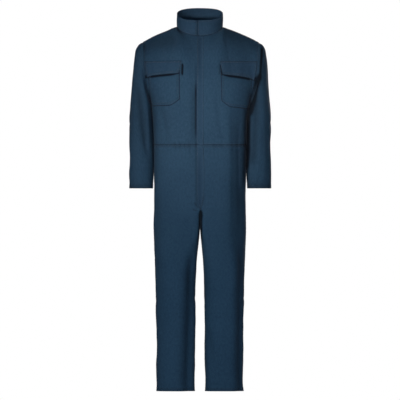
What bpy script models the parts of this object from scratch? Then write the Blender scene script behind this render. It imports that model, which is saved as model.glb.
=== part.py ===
"""Boiler suit with a standing collar and a fly front, in the hollow form it takes when worn.

Frame: +X is the wearer's left, -Y the front and +Z up, in metres. The origin is the middle of
the neck opening, level with the two side neck points where the shoulder seams meet the collar.
Each panel is worked out as the outer face of its cloth, and its wall goes inwards from there.
"""

from collections import namedtuple
from math import asin, pi, radians

import bmesh
import bpy
import numpy as np

# Which way round a panel is.
LEFT, RIGHT = 1, -1  # the wearer's
FRONT, BACK = -1, 1

# Cloth and seams.
WALL = 0.0015
COLLAR_WALL = 0.0026  # two layers and an interlining
PATCH_WALL = 0.0012
GAP = 0.0003  # between panels at a seam
ARMHOLE_GAP = 0.0010
FLY_CLEAR = 0.0012
PATCH_CLEAR = 0.0018  # under a piece that lies on a curved panel

# Heights of the main lines.
WAIST = -0.519
ARMPIT = -0.325
CROTCH = -0.905
RISE_TOP = -0.798  # above this the two legs are one torso
HEM = -1.602

# Torso seen from above: an oval, squarer than an ellipse where `square` is over 2.
Torso = namedtuple("Torso", "height half_width front back middle square")
TORSO = (
    Torso(-0.905, 0.2012, 0.122, 0.128, 0.004, 2.50),
    Torso(-0.798, 0.2022, 0.126, 0.138, 0.004, 2.50),
    Torso(-0.690, 0.2024, 0.127, 0.140, 0.002, 2.50),
    Torso(-0.600, 0.2024, 0.126, 0.128, 0.000, 2.50),
    Torso(-0.519, 0.2030, 0.124, 0.112, 0.000, 2.50),
    Torso(-0.440, 0.2060, 0.130, 0.113, 0.000, 2.50),
    Torso(-0.375, 0.2110, 0.134, 0.120, 0.000, 2.45),
    Torso(-0.325, 0.2165, 0.134, 0.126, 0.000, 2.40),
)

# One leg seen from above. Its inner half is squarer near the crotch, where the legs press.
Leg = namedtuple("Leg", "height inner outer front back middle inner_square outer_square")
LEG = (
    Leg(-1.602, 0.0218, 0.1936, 0.070, 0.074, 0.014, 2.3, 2.3),
    Leg(-1.450, 0.0186, 0.1936, 0.075, 0.079, 0.012, 2.3, 2.3),
    Leg(-1.330, 0.0180, 0.1938, 0.080, 0.084, 0.010, 2.3, 2.3),
    Leg(-1.200, 0.0177, 0.1955, 0.087, 0.090, 0.008, 2.4, 2.3),
    Leg(-1.100, 0.0160, 0.1975, 0.095, 0.100, 0.006, 2.8, 2.4),
    Leg(-1.000, 0.0118, 0.1985, 0.105, 0.111, 0.004, 4.0, 2.4),
    Leg(-0.940, 0.0046, 0.2000, 0.112, 0.119, 0.004, 5.2, 2.5),
    Leg(-0.905, 0.0011, 0.2012, 0.115, 0.123, 0.004, 6.5, 2.5),
    Leg(-0.880, 0.0006, 0.2014, 0.117, 0.126, 0.004, 7.0, 2.5),
    Leg(-0.798, 0.0006, 0.2022, 0.121, 0.131, 0.004, 7.0, 2.5),
)

# The rise seams: a narrow slit from the crotch up, closing at RISE_TOP.
RISE_SLIT = 0.55
RISE_CURVE = 0.7
RISE_TURN = radians(38)
CORNER = radians(45)  # on a leg's oval, between its inner wall and its front or back
WALL_SHARE = 0.18  # of a trouser panel's columns

# Neckline, and the shoulder seam from the side neck point to the armhole.
NECK_HALF = 0.101
NECK_MIDDLE = 0.002
Neck = namedtuple("Neck", "depth rise leaving")  # `leaving`: how steeply the panel arrives
NECK = {FRONT: Neck(0.068, -0.0395, radians(58)), BACK: Neck(0.068, 0.012, radians(72))}
NECK_CURVE = 1.35
NECK_SHARE = 5 / 12  # of a bodice panel's top edge
SHOULDER_CURVE = 1.2  # the seam drops a little faster towards the armhole
Tip = namedtuple("Tip", "x z")
SHOULDER_TIP = {LEFT: Tip(0.258, -0.0705), RIGHT: Tip(0.251, -0.0665)}
ARMHOLE_DEPTH = {FRONT: 0.071, BACK: 0.074}
ARMHOLE_HOOK = {LEFT: 3.4, RIGHT: 3.0}  # how low the armhole turns in to the underarm
ARMHOLE_POINT = 0.75  # how pointed its foot is
ARMHOLE_SPREAD = 6
ARMPIT_SHARE = 1 / 3  # of a bodice panel's rows
START_PULL, END_PULL = 1.25, 1.15

# Sleeve: each ring spans an underarm point and an outer point, both in the XZ plane.
Ring = namedtuple("Ring", "along inner_x inner_z outer_x outer_z front back middle")
SLEEVE = (
    Ring(0.000, 0.2171, -0.325, 0.2550, -0.069, 0.071, 0.074, 0.000),
    Ring(0.020, 0.2190, -0.331, 0.2710, -0.078, 0.075, 0.078, 0.000),
    Ring(0.042, 0.2195, -0.338, 0.2830, -0.096, 0.077, 0.080, 0.001),
    Ring(0.080, 0.2185, -0.347, 0.2905, -0.133, 0.079, 0.081, 0.002),
    Ring(0.130, 0.2165, -0.359, 0.2965, -0.183, 0.079, 0.081, 0.004),
    Ring(0.190, 0.2140, -0.376, 0.3022, -0.245, 0.078, 0.079, 0.008),
    Ring(0.260, 0.2108, -0.404, 0.3075, -0.317, 0.076, 0.076, 0.013),
    Ring(0.330, 0.2083, -0.442, 0.3110, -0.388, 0.073, 0.073, 0.018),
    Ring(0.405, 0.2062, -0.491, 0.3120, -0.460, 0.069, 0.069, 0.022),
    Ring(0.475, 0.2054, -0.545, 0.3122, -0.530, 0.065, 0.064, 0.021),
    Ring(0.545, 0.2054, -0.605, 0.3122, -0.600, 0.060, 0.059, 0.013),
    Ring(0.605, 0.2066, -0.661, 0.3120, -0.660, 0.055, 0.053, 0.002),
    Ring(0.655, 0.2095, -0.708, 0.3115, -0.708, 0.049, 0.047, -0.008),
)
SLEEVE_SQUARE = 2.25
ARMHOLE_FADE = 0.16  # past this the two sleeves are alike

# Collar: a band round the neckline. Its ends meet just to the wearer's right of centre.
COLLAR_HALF = 0.1015
COLLAR_DEPTH = 0.062
COLLAR_MIDDLE = -0.002
COLLAR_HEIGHT = 0.0585
COLLAR_TILT = {FRONT: 0.0255, BACK: 0.0265}
COLLAR_SQUARE = 2.4
COLLAR_OPENING = -0.0125
COLLAR_TURNS = (asin((COLLAR_OPENING + GAP) / NECK_HALF),
                2 * pi + asin((COLLAR_OPENING - GAP) / NECK_HALF))
COLLAR_SWELL = 0.0012
COLLAR_PROUD = 0.0016
COLLAR_PROUD_ARC = 0.35

# Fly: the strip over the front opening, its width in rows down the front.
FLY_RIGHT, FLY_LEFT = -0.0130, 0.0165
Strip = namedtuple("Strip", "height right left")
FLY_FOOT = (
    Strip(-0.802, -0.0020, 0.0060),
    Strip(-0.770, -0.0105, 0.0125),
    Strip(-0.735, FLY_RIGHT, FLY_LEFT),
    Strip(WAIST, FLY_RIGHT, FLY_LEFT),
)

# Chest pockets and flaps, by the corners of their outlines on the panel.
Corner = namedtuple("Corner", "across height")
Patch = namedtuple("Patch", "inner_top outer_top outer_low inner_low chamfer")
POCKET = {
    LEFT: Patch(Corner(0.256, -0.188), Corner(0.860, -0.204), Corner(0.900, -0.364),
                Corner(0.276, -0.352), 0.026),
    RIGHT: Patch(Corner(0.256, -0.186), Corner(0.860, -0.196), Corner(0.900, -0.350),
                 Corner(0.256, -0.347), 0.028),
}
FLAP = {
    LEFT: Patch(Corner(0.256, -0.152), Corner(0.975, -0.152), Corner(0.975, -0.228),
                Corner(0.276, -0.206), 0),
    RIGHT: Patch(Corner(0.236, -0.150), Corner(0.970, -0.152), Corner(0.970, -0.216),
                 Corner(0.256, -0.201), 0),
}
Lift = namedtuple("Lift", "inner middle outer")  # of a flap's lower edge, off its panel
FLAP_LIFT = {LEFT: Lift(0.0060, 0.0045, 0.0060), RIGHT: Lift(0.0110, 0.0060, 0.0045)}

# Soft folds, as straight lines seen from the front or the back: a trough is a minus depth.
Fold = namedtuple("Fold", "face x0 z0 x1 z1 width depth")
LEG_FOLDS = {
    RIGHT: (
        Fold(FRONT, -0.048, -1.00, -0.066, -1.66, 0.022, -0.007),
        Fold(FRONT, -0.028, -1.26, -0.030, -1.66, 0.014, 0.003),
        Fold(BACK, -0.130, -1.00, -0.118, -1.66, 0.024, -0.006),
        Fold(BACK, -0.060, -0.92, -0.085, -1.20, 0.022, -0.005),
    ),
    LEFT: (
        Fold(FRONT, 0.160, -0.60, 0.165, -1.66, 0.024, -0.005),
        Fold(FRONT, 0.030, -1.30, 0.058, -1.52, 0.016, -0.003),
        Fold(BACK, 0.125, -1.00, 0.112, -1.66, 0.024, -0.006),
        Fold(BACK, 0.055, -0.92, 0.090, -1.18, 0.022, -0.005),
    ),
}
SLEEVE_FOLDS = {
    RIGHT: (
        Fold(FRONT, -0.280, -0.19, -0.226, -0.62, 0.014, -0.008),
        Fold(BACK, -0.270, -0.24, -0.236, -0.62, 0.015, -0.006),
    ),
    LEFT: (
        Fold(FRONT, 0.272, -0.22, 0.240, -0.60, 0.014, -0.006),
        Fold(FRONT, 0.296, -0.40, 0.292, -0.68, 0.013, -0.004),
        Fold(BACK, 0.268, -0.24, 0.238, -0.60, 0.015, -0.006),
    ),
}
BODICE_FOLDS = {
    RIGHT: (
        Fold(FRONT, -0.165, -0.38, -0.185, -0.54, 0.020, -0.003),
        Fold(BACK, -0.150, -0.20, -0.165, -0.54, 0.028, -0.006),
    ),
    LEFT: (
        Fold(FRONT, 0.150, -0.34, 0.166, -0.54, 0.022, -0.004),
        Fold(BACK, 0.150, -0.20, 0.160, -0.54, 0.028, -0.006),
    ),
}
FOLD_TAPER = 0.25  # share of a fold's length over which each end dies away

# Cells of each panel's mesh. The bodice and the sleeve are cut alike round the armhole, and
# the bodice and the collar round the neckline.
BODICE_CELLS = (12, 15)
TROUSER_COLUMNS = (0, 0.09, WALL_SHARE, 0.27, 0.39, 0.52, 0.68, 0.84, 1)
TROUSER_HEIGHTS = (
    HEM, -1.510, -1.420, -1.330, -1.240, -1.150, -1.070, -1.005, -0.960, -0.930, -0.905, -0.885,
    -0.863, -0.845, -0.828, -0.812, -0.798, -0.768, -0.735, -0.665, -0.590, WAIST,
)
SLEEVE_COLUMNS = 20
COLLAR_STEP, COLLAR_ROWS = radians(18), 3
POCKET_CELLS = (8, 6)
FLAP_CELLS = (8, 3)

# Cloth finishes: colour, roughness.
Finish = namedtuple("Finish", "colour roughness")
FINISHES = {
    "navy_twill": Finish((0.026, 0.055, 0.090, 1.0), 0.85),
    "navy_twill_doubled": Finish((0.021, 0.045, 0.076, 1.0), 0.88),
}


def read(table, at):
    """Every column after the first, on a smooth curve through the rows, where the first is `at`."""
    rows = np.array(sorted(table), float)
    keys = rows[:, 0]
    values = rows[:, 1:]
    slopes = np.gradient(values, keys, axis=0)
    at = np.clip(at, keys[0], keys[-1])
    i = np.clip(np.searchsorted(keys, at) - 1, 0, len(keys) - 2)
    span = (keys[i + 1] - keys[i])[..., None]
    t = (at - keys[i])[..., None] / span
    start = (2 * t**3 - 3 * t**2 + 1) * values[i] + (t**3 - 2 * t**2 + t) * span * slopes[i]
    end = (3 * t**2 - 2 * t**3) * values[i + 1] + (t**3 - t**2) * span * slopes[i + 1]
    return np.moveaxis(start + end, -1, 0)


def point(x, y, z):
    return np.stack(np.broadcast_arrays(x, y, z), axis=-1)


def unit(vectors):
    return vectors / np.maximum(np.linalg.norm(vectors, axis=-1, keepdims=True), 1e-12)


def ease(t):
    t = np.clip(t, 0, 1)
    return t * t * (3 - 2 * t)


def oval(angle, square):
    """Sine and cosine, pushed out from a circle to a squarer oval."""
    sine = np.sin(angle)
    cosine = np.cos(angle)
    reach = (np.abs(sine) ** square + np.abs(cosine) ** square) ** (-1 / square)
    return sine * reach, cosine * reach


def torso_ring(side, face, across, height):
    """The torso's oval, from the centre line (across 0) to the side seam (across 1)."""
    half_width, front, back, middle, square = read(TORSO, height)
    out, forward = oval(across * pi / 2, square)
    depth = front if face == FRONT else back
    return point(side * half_width * out, middle + face * depth * forward, height)


def torso_across(share, height):
    """How far across the torso's oval a share of its half width comes."""
    square = read(TORSO, height)[4]
    share = np.clip(share, 0, 1)
    return np.arctan2(share, (1 - share**square) ** (1 / square)) / (pi / 2)


def leg_ring(side, face, angle, height):
    """Half of a leg's oval, from the inseam (angle 0) to the side seam (angle pi)."""
    inner, outer, front, back, middle, inner_square, outer_square = read(LEG, height)
    forward, inwards = oval(angle, np.where(angle < pi / 2, inner_square, outer_square))
    depth = front if face == FRONT else back
    half = (outer - inner) / 2
    return point(side * (inner + half - half * inwards), middle + face * depth * forward, height)


def trousers(side, face, across, up):
    """A trouser panel: up 0 at the hem, 1 at the waist.

    From the crotch up, the seam between the legs moves forwards or back along the legs' inner
    walls to their corners. There the two legs' ovals become the torso's.
    """
    height = HEM + (WAIST - HEM) * up
    rise = np.clip((height - CROTCH) / (RISE_TOP - CROTCH), 0, 1)
    joined = ease((rise - RISE_SLIT) / (1 - RISE_SLIT))[..., None]
    start = RISE_TURN * rise**RISE_CURVE
    wall = start + (CORNER - start) * across / WALL_SHARE
    outside = CORNER + (pi - CORNER) * (across - WALL_SHARE) / (1 - WALL_SHARE)
    leg = leg_ring(side, face, np.where(across < WALL_SHARE, wall, outside), height)
    first, last = (leg_ring(side, face, angle, height)[..., 0] for angle in (start, pi + 0 * up))
    bunched = torso_across((leg[..., 0] - first) / (last - first), height)
    spread = ease((height - RISE_TOP) / (WAIST - RISE_TOP))
    torso = torso_ring(side, face, bunched + spread * (across - bunched), height)
    return leg + joined * (torso - leg)


def armhole(side, face, t):
    """Half of the armhole, from the underarm (t 0) to the shoulder (t 1)."""
    half_width, middle = read(TORSO, np.full(np.shape(t), ARMPIT))[[0, 3]]
    tip = SHOULDER_TIP[side]
    climb = np.clip((1 - np.cos(pi * t)) / 2 + ARMHOLE_POINT * np.abs(t) * (1 - t) ** 2, 0, 1)
    return point(
        side * (tip.x - (tip.x - half_width) * (1 - climb) ** ARMHOLE_HOOK[side]),
        middle + face * ARMHOLE_DEPTH[face] * np.sin(pi * t),
        ARMPIT + (tip.z - ARMPIT) * climb,
    )


def neckline(side, face, turn):
    """The neckline, from the centre line (turn 0) to the side neck point (turn pi / 2)."""
    forward = np.clip(np.cos(turn), 0, 1)
    neck = NECK[face]
    return point(
        side * NECK_HALF * np.sin(turn),
        NECK_MIDDLE + face * neck.depth * forward,
        neck.rise * forward**NECK_CURVE,
    )


def top_edge(side, face, across):
    """The neckline then the shoulder seam, and the way a bodice panel arrives at them."""
    tip = SHOULDER_TIP[side]
    turn = np.clip(across / NECK_SHARE, -1, 1) * pi / 2
    out = np.clip((across - NECK_SHARE) / (1 - NECK_SHARE), 0, 1)
    seam = point(
        side * (tip.x - NECK_HALF) * out,
        -NECK_MIDDLE * out,
        tip.z * out**SHOULDER_CURVE,
    )
    lean = NECK[face].leaving * (1 - ease(across / NECK_SHARE))
    return neckline(side, face, turn) + seam, point(0, -face * np.cos(lean), np.sin(lean))


def column(side, face, across, t):
    """The upper bodice on the line `across`, from the armpit's level (t 0) to the top edge."""
    level = np.full(np.shape(across), ARMPIT)
    start = torso_ring(side, face, across, level)
    leaving = (start - torso_ring(side, face, across, level - 0.01)) / 0.01
    end, arriving = top_edge(side, face, across)
    reach = np.linalg.norm(end - start, axis=-1, keepdims=True)
    t = t[..., None]
    curve = (2 * t**3 - 3 * t**2 + 1) * start + (3 * t**2 - 2 * t**3) * end
    curve += (t**3 - 2 * t**2 + t) * reach * START_PULL * leaving
    curve += (t**3 - t**2) * reach * END_PULL * arriving
    return curve


def bodice(side, face, across, up):
    """A bodice panel: up 0 at the waist, 1 at the neckline and the shoulder seam."""
    height = WAIST + (ARMPIT - WAIST) * np.clip(up / ARMPIT_SHARE, 0, 1)
    t = np.clip((up - ARMPIT_SHARE) / (1 - ARMPIT_SHARE), 0, 1)
    shift = armhole(side, face, t) - column(side, face, np.ones(np.shape(across)), t)
    upper = column(side, face, across, t) + np.abs(across[..., None]) ** ARMHOLE_SPREAD * shift
    return np.where(t[..., None] > 0, upper, torso_ring(side, face, across, height))


def sleeve(side, turn, share):
    """A sleeve: turn goes round from the underarm by the front, share from armhole to cuff."""
    along = share * SLEEVE[-1].along
    is_front = turn < 0.5
    t = np.where(is_front, 2 * turn, 2 - 2 * turn)
    edge = np.where(is_front[..., None], armhole(side, FRONT, t), armhole(side, BACK, t))
    edge = edge * [side, 1, 1] + [ARMHOLE_GAP, 0, 0]

    def ring(at):
        inner_x, inner_z, outer_x, outer_z, front, back, middle = read(SLEEVE, at)
        deep, down = oval(pi * t, SLEEVE_SQUARE)
        climb = (1 - down) / 2
        return point(
            inner_x + (outer_x - inner_x) * climb,
            middle + np.where(is_front, -front, back) * deep,
            inner_z + (outer_z - inner_z) * climb,
        )

    fade = 1 - ease(along / ARMHOLE_FADE)[..., None]
    return (ring(along) + fade * (edge - ring(np.zeros(np.shape(along))))) * [side, 1, 1]


def collar(turn, up):
    """The collar: turn goes round from its left end, by the back, to its right end."""
    is_front = np.cos(turn) > 0
    out, forward = oval(turn, COLLAR_SQUARE)
    top = point(
        COLLAR_HALF * out,
        COLLAR_MIDDLE - COLLAR_DEPTH * forward,
        COLLAR_HEIGHT - np.where(is_front, COLLAR_TILT[FRONT], COLLAR_TILT[BACK]) * forward,
    )
    fore = neckline(1, FRONT, turn)
    rear = neckline(1, BACK, pi - turn)
    base = np.where(is_front[..., None], fore, rear) + [0, 0, 2 * GAP]
    outwards = point(np.sin(turn), -np.cos(turn), 0)
    proud = COLLAR_PROUD * ease(1 - (COLLAR_TURNS[1] - turn) / COLLAR_PROUD_ARC)
    swell = COLLAR_SWELL * np.sin(pi * np.clip(up, 0, 1)) + proud
    return base + up[..., None] * (top - base) + outwards * swell[..., None]


def normals(surface, u, v, step=1e-4):
    """Unit normals of surface(u, v), along its u direction crossed with its v direction."""
    along_u = surface(u + step, v) - surface(u - step, v)
    along_v = surface(u, v + step) - surface(u, v - step)
    return unit(np.cross(unit(along_u), unit(along_v)))


def fold_depth(folds, points, out):
    """How far each point moves outwards for the folds, each where the cloth faces its way."""
    depth = np.zeros(points.shape[:-1])
    for fold in folds:
        start = np.array([fold.x0, fold.z0])
        run = np.array([fold.x1, fold.z1]) - start
        away = points[..., [0, 2]] - start
        share = np.clip(away @ run / (run @ run), 0, 1)
        off = np.linalg.norm(away - share[..., None] * run, axis=-1)
        taper = ease(share / FOLD_TAPER) * ease((1 - share) / FOLD_TAPER)
        facing = ease(1.5 * fold.face * out[..., 1])
        depth += fold.depth * facing * taper * np.exp(-((off / fold.width) ** 2))
    return depth


def skin(surface, outward, folds, u, v):
    """The folded outer face of a panel, and the directions out of it."""
    points = surface(u, v)
    out = normals(surface, u, v) * outward
    return points + out * fold_depth(folds, points, out)[..., None], out


def shares(cells):
    return np.linspace(0, 1, cells + 1) if isinstance(cells, int) else np.array(cells)


def grid(columns, rows):
    """Shares across and up a panel. Each is given as a count of cells or as the shares."""
    return np.meshgrid(shares(columns), shares(rows))


def trim(points, start=0, end=0, low=0, high=0):
    """The same points with the outer columns and rows drawn in by these distances."""
    out = points.copy()
    for edge, nearest, amount in ((0, 1, start), (-1, -2, end)):
        out[:, edge] += unit(points[:, nearest] - points[:, edge]) * amount
    for edge, nearest, amount in ((0, 1, low), (-1, -2, high)):
        out[edge] += unit(points[nearest] - points[edge]) * amount
    return out


def cloth(name, outer, inner, finish="navy_twill", tube=False):
    """A closed wall of cloth between two grids of points, as an object."""
    rows, columns = outer.shape[:2]
    bm = bmesh.new()
    bmesh.ops.create_grid(bm, x_segments=columns - 1, y_segments=rows - 1, size=0.5)
    place = bm.verts.layers.int.new("place")
    for vertex in bm.verts:
        i = round((vertex.co.y + 0.5) * (rows - 1))
        j = round((vertex.co.x + 0.5) * (columns - 1))
        vertex[place] = i * columns + j
        vertex.co = outer[i, j]
    if tube:
        bmesh.ops.remove_doubles(bm, verts=bm.verts, dist=1e-6)
    made = bmesh.ops.extrude_face_region(bm, geom=bm.faces[:], use_keep_orig=True)
    for item in made["geom"]:
        if isinstance(item, bmesh.types.BMVert):
            item.co = inner[divmod(item[place], columns)]
    bmesh.ops.recalc_face_normals(bm, faces=bm.faces)
    bm.verts.layers.int.remove(place)
    mesh = bpy.data.meshes.new(name)
    bm.to_mesh(mesh)
    bm.free()
    mesh.shade_smooth()
    mesh.set_sharp_from_angle(angle=radians(40))
    mesh.materials.append(bpy.data.materials[finish])
    bpy.context.scene.collection.objects.link(bpy.data.objects.new(name, mesh))


def make_finishes():
    for name, finish in FINISHES.items():
        material = bpy.data.materials.new(name)
        material.use_nodes = True
        shader = material.node_tree.nodes["Principled BSDF"]
        shader.inputs["Base Color"].default_value = finish.colour
        shader.inputs["Roughness"].default_value = finish.roughness
        shader.inputs["Metallic"].default_value = 0.0


def make_fronts_and_legs():
    """The front bodice panels and the four trouser panels."""
    heights = (np.array(TROUSER_HEIGHTS) - HEM) / (WAIST - HEM)
    kinds = (
        ("front", bodice, FRONT, grid(*BODICE_CELLS), BODICE_FOLDS, GAP / 2),
        ("trouser_front", trousers, FRONT, grid(TROUSER_COLUMNS, heights), LEG_FOLDS, 0),
        ("trouser_back", trousers, BACK, grid(TROUSER_COLUMNS, heights), LEG_FOLDS, 0),
    )
    for kind, surface, face, (u, v), folds, low in kinds:
        for side, side_name in ((LEFT, "left"), (RIGHT, "right")):
            points, out = skin(lambda a, b: surface(side, face, a, b), -face * side,
                               folds[side], u, v)
            points = trim(points, GAP / 2, GAP / 2, low, GAP / 2)
            cloth(f"{kind}_{side_name}", points, points - out * WALL)


def make_back():
    """The back bodice: one panel from side seam to side seam."""
    columns, rows = BODICE_CELLS
    halves = []
    for side in (RIGHT, LEFT):
        u, v = grid(columns, rows)
        points, out = skin(lambda a, b: bodice(side, BACK, a, b), -side, BODICE_FOLDS[side], u, v)
        halves.append((points, out))
    mirrored = [part[:, :0:-1] for part in halves[0]]
    points = np.concatenate([mirrored[0], halves[1][0]], axis=1)
    out = np.concatenate([mirrored[1], halves[1][1]], axis=1)
    points = trim(points, GAP / 2, GAP / 2, GAP / 2, GAP / 2)
    cloth("back", points, points - out * WALL)


def make_sleeves():
    u, v = grid(SLEEVE_COLUMNS, [ring.along / SLEEVE[-1].along for ring in SLEEVE])
    for side, side_name in ((LEFT, "left"), (RIGHT, "right")):
        points, out = skin(lambda a, b: sleeve(side, a, b), -side, SLEEVE_FOLDS[side], u, v)
        cloth(f"sleeve_{side_name}", points, points - out * WALL, tube=True)


def make_collar():
    turns = [COLLAR_TURNS[0], *np.arange(0, COLLAR_TURNS[1], COLLAR_STEP), COLLAR_TURNS[1]]
    u, v = grid(turns, COLLAR_ROWS)
    points = collar(u, v)
    cloth("collar", points, points - normals(collar, u, v) * COLLAR_WALL, "navy_twill_doubled")


def across_at(surface, face, x, up):
    """How far across the panel of x's own side the line x is, seen from the front."""
    steps = np.linspace(0, 0.3, 61)
    found = []
    for one_x, one_up in zip(x.flat, up.flat):
        line = surface(1, face, steps, np.full(61, one_up))
        found.append(np.interp(abs(one_x), line[:, 0], steps))
    return np.reshape(found, x.shape)


def on_fronts(surface, x, up, offset):
    """Points on the two front panels together, `offset` out from them."""
    across = across_at(surface, FRONT, x, up)
    points = []
    for side in (RIGHT, LEFT):
        out = normals(lambda a, b: surface(side, FRONT, a, b), across, up) * side
        points.append(surface(side, FRONT, across, up) + out * offset)
    return np.where((x < 0)[..., None], points[0], points[1])


def make_fly():
    """The strip over the opening: down the bodice, and its foot on the trousers."""
    strip = np.array([FLY_RIGHT, 0, FLY_LEFT])
    x, up = np.meshgrid(strip, np.linspace(0, 1, BODICE_CELLS[1] + 1))
    faces = [on_fronts(bodice, x, up, offset) for offset in (FLY_CLEAR + WALL, FLY_CLEAR)]
    faces = [trim(points, low=GAP / 2, high=0.002) for points in faces]
    cloth("fly_top", *faces, "navy_twill_doubled")
    heights = np.array([height for height in TROUSER_HEIGHTS if height > FLY_FOOT[0].height])
    right, left = read(FLY_FOOT, heights)
    x = np.stack([right, 0 * right, left], axis=1)
    up = np.repeat(((heights - HEM) / (WAIST - HEM))[:, None], 3, axis=1)
    faces = [on_fronts(trousers, x, up, offset) for offset in (FLY_CLEAR + WALL, FLY_CLEAR)]
    faces = [trim(points, high=GAP / 2) for points in faces]
    cloth("fly_foot", *faces, "navy_twill_doubled")


def on_patch(side, patch, u, v, offset):
    """Points of a patch on a front panel: u from its inner edge out, v from its foot up."""
    corners = [np.array(corner) for corner in patch[:4]]
    inner_top, outer_top, outer_low, inner_low = corners
    u3, v3 = u[..., None], v[..., None]
    low = inner_low + u3 * (outer_low - inner_low)
    place = low + v3 * (inner_top + u3 * (outer_top - inner_top) - low)
    across, height = place[..., 0], place[..., 1]
    if patch.chamfer:
        run = np.minimum(u, 1 - u) * 0.15
        height = height + np.clip(patch.chamfer - run, 0, None) * (1 - v)
    steps = np.linspace(0, 1, 91)
    up = []
    for one_across, one_height in zip(across.flat, height.flat):
        line = bodice(side, FRONT, np.full(91, one_across), steps)
        up.append(np.interp(one_height, line[:, 2], steps))
    points, out = skin(lambda a, b: bodice(side, FRONT, a, b), side, BODICE_FOLDS[side],
                       across, np.reshape(up, across.shape))
    return points + out * offset[..., None]


def make_pockets():
    for side, side_name in ((LEFT, "left"), (RIGHT, "right")):
        u, v = grid(*POCKET_CELLS)
        faces = [on_patch(side, POCKET[side], u, v, np.full(u.shape, offset))
                 for offset in (PATCH_CLEAR + PATCH_WALL, PATCH_CLEAR)]
        cloth(f"chest_pocket_{side_name}", *faces)
        u, v = grid(*FLAP_CELLS)
        lift = np.interp(u, (0, 0.45, 1), FLAP_LIFT[side]) * (1 - v)
        faces = [on_patch(side, FLAP[side], u, v, offset + lift)
                 for offset in (PATCH_CLEAR + PATCH_WALL, PATCH_CLEAR)]
        cloth(f"pocket_flap_{side_name}", *faces, "navy_twill_doubled")


def main():
    for old in list(bpy.data.objects):
        bpy.data.objects.remove(old)
    make_finishes()
    make_fronts_and_legs()
    make_back()
    make_sleeves()
    make_collar()
    make_fly()
    make_pockets()


main()
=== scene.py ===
"""Boiler suit, dressed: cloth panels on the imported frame, with seams, creases and stitching.

Frame: +X is the wearer's left, -Y the front and +Z up, in metres. The origin is the middle of
the neck opening, level with the two side neck points. Every cut piece of cloth is a grid laid on
the suit's worn form. Its folds, seams and hems move it in and out, and its wall goes inwards.
"""

import logging
from collections.abc import Callable, Iterable, Sequence
from dataclasses import dataclass, field
from enum import Enum
from functools import partial
from math import asin, pi, radians
from typing import NamedTuple

import bmesh
import bpy
import numpy as np
from mathutils import Matrix, Vector


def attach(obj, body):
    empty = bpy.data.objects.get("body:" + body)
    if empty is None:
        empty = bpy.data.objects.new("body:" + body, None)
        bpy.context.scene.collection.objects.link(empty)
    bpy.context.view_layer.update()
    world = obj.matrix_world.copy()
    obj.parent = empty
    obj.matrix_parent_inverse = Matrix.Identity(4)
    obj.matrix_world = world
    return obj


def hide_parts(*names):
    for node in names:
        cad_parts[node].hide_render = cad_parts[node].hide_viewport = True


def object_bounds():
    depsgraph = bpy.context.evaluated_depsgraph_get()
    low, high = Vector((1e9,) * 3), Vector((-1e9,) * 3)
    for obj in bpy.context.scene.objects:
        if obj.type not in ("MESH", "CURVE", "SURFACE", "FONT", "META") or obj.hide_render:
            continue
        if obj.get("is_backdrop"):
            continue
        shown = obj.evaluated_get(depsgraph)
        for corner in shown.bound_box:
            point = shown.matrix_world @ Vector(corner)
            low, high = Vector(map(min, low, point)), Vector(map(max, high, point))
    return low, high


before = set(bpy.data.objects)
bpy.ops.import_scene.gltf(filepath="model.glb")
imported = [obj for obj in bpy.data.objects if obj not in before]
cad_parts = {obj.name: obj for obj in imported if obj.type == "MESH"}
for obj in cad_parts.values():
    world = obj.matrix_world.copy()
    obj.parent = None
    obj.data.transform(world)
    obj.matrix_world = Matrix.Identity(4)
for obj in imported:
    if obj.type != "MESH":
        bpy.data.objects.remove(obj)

log = logging.getLogger("boiler_suit")

Array = np.ndarray
Surface = Callable[[Array, Array], Array]
Colour = tuple[float, float, float, float]
Lifting = Callable[[Array, Array, Array], Array]
Socket = bpy.types.NodeSocket

BODY = "root"


class Side(Enum):
    """The wearer's left or right."""

    LEFT = 1
    RIGHT = -1

    @property
    def word(self) -> str:
        """The side's name in the names of pieces and nodes."""
        return self.name.lower()


class Face(Enum):
    """The front or the back of the suit."""

    FRONT = -1
    BACK = 1


class Facing(Enum):
    """The way that a fold faces: the axis it runs across, the axis it faces, and which way."""

    FRONT = (0, 1, -1)
    BACK = (0, 1, 1)
    LEFT = (1, 0, 1)
    RIGHT = (1, 0, -1)


class Edge(Enum):
    """The edges of a cut piece: where its columns start and end, and its foot and head."""

    START = "start"
    END = "end"
    LOW = "low"
    HIGH = "high"


class Slot(Enum):
    """The record's material slots."""

    TWILL = "navy_twill"
    DOUBLED = "navy_twill_doubled"


# --- Working with arrays of points ----------------------------------------------------------


def read(table: Sequence, at: Array) -> Array:
    """Reads a table of sizes on a smooth curve through its rows.

    Args:
        table: Rows whose first value is the place, such as a height.
        at: The places to read.

    Returns:
        Every other value at those places, one array for each.
    """
    rows = np.array(sorted(table), float)
    keys = rows[:, 0]
    values = rows[:, 1:]
    slopes = np.gradient(values, keys, axis=0)
    at = np.clip(at, keys[0], keys[-1])
    i = np.clip(np.searchsorted(keys, at) - 1, 0, len(keys) - 2)
    span = (keys[i + 1] - keys[i])[..., None]
    t = (at - keys[i])[..., None] / span
    start = (2 * t**3 - 3 * t**2 + 1) * values[i] + (t**3 - 2 * t**2 + t) * span * slopes[i]
    end = (3 * t**2 - 2 * t**3) * values[i + 1] + (t**3 - t**2) * span * slopes[i + 1]
    return np.moveaxis(start + end, -1, 0)


def point(x: Array, y: Array, z: Array) -> Array:
    """Points from their three coordinates."""
    return np.stack(np.broadcast_arrays(x, y, z), axis=-1)


def unit(vectors: Array) -> Array:
    """The same directions with a length of 1."""
    return vectors / np.maximum(np.linalg.norm(vectors, axis=-1, keepdims=True), 1e-12)


def ease(t: Array) -> Array:
    """A smooth step from 0 to 1."""
    t = np.clip(t, 0, 1)
    return t * t * (3 - 2 * t)


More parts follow.
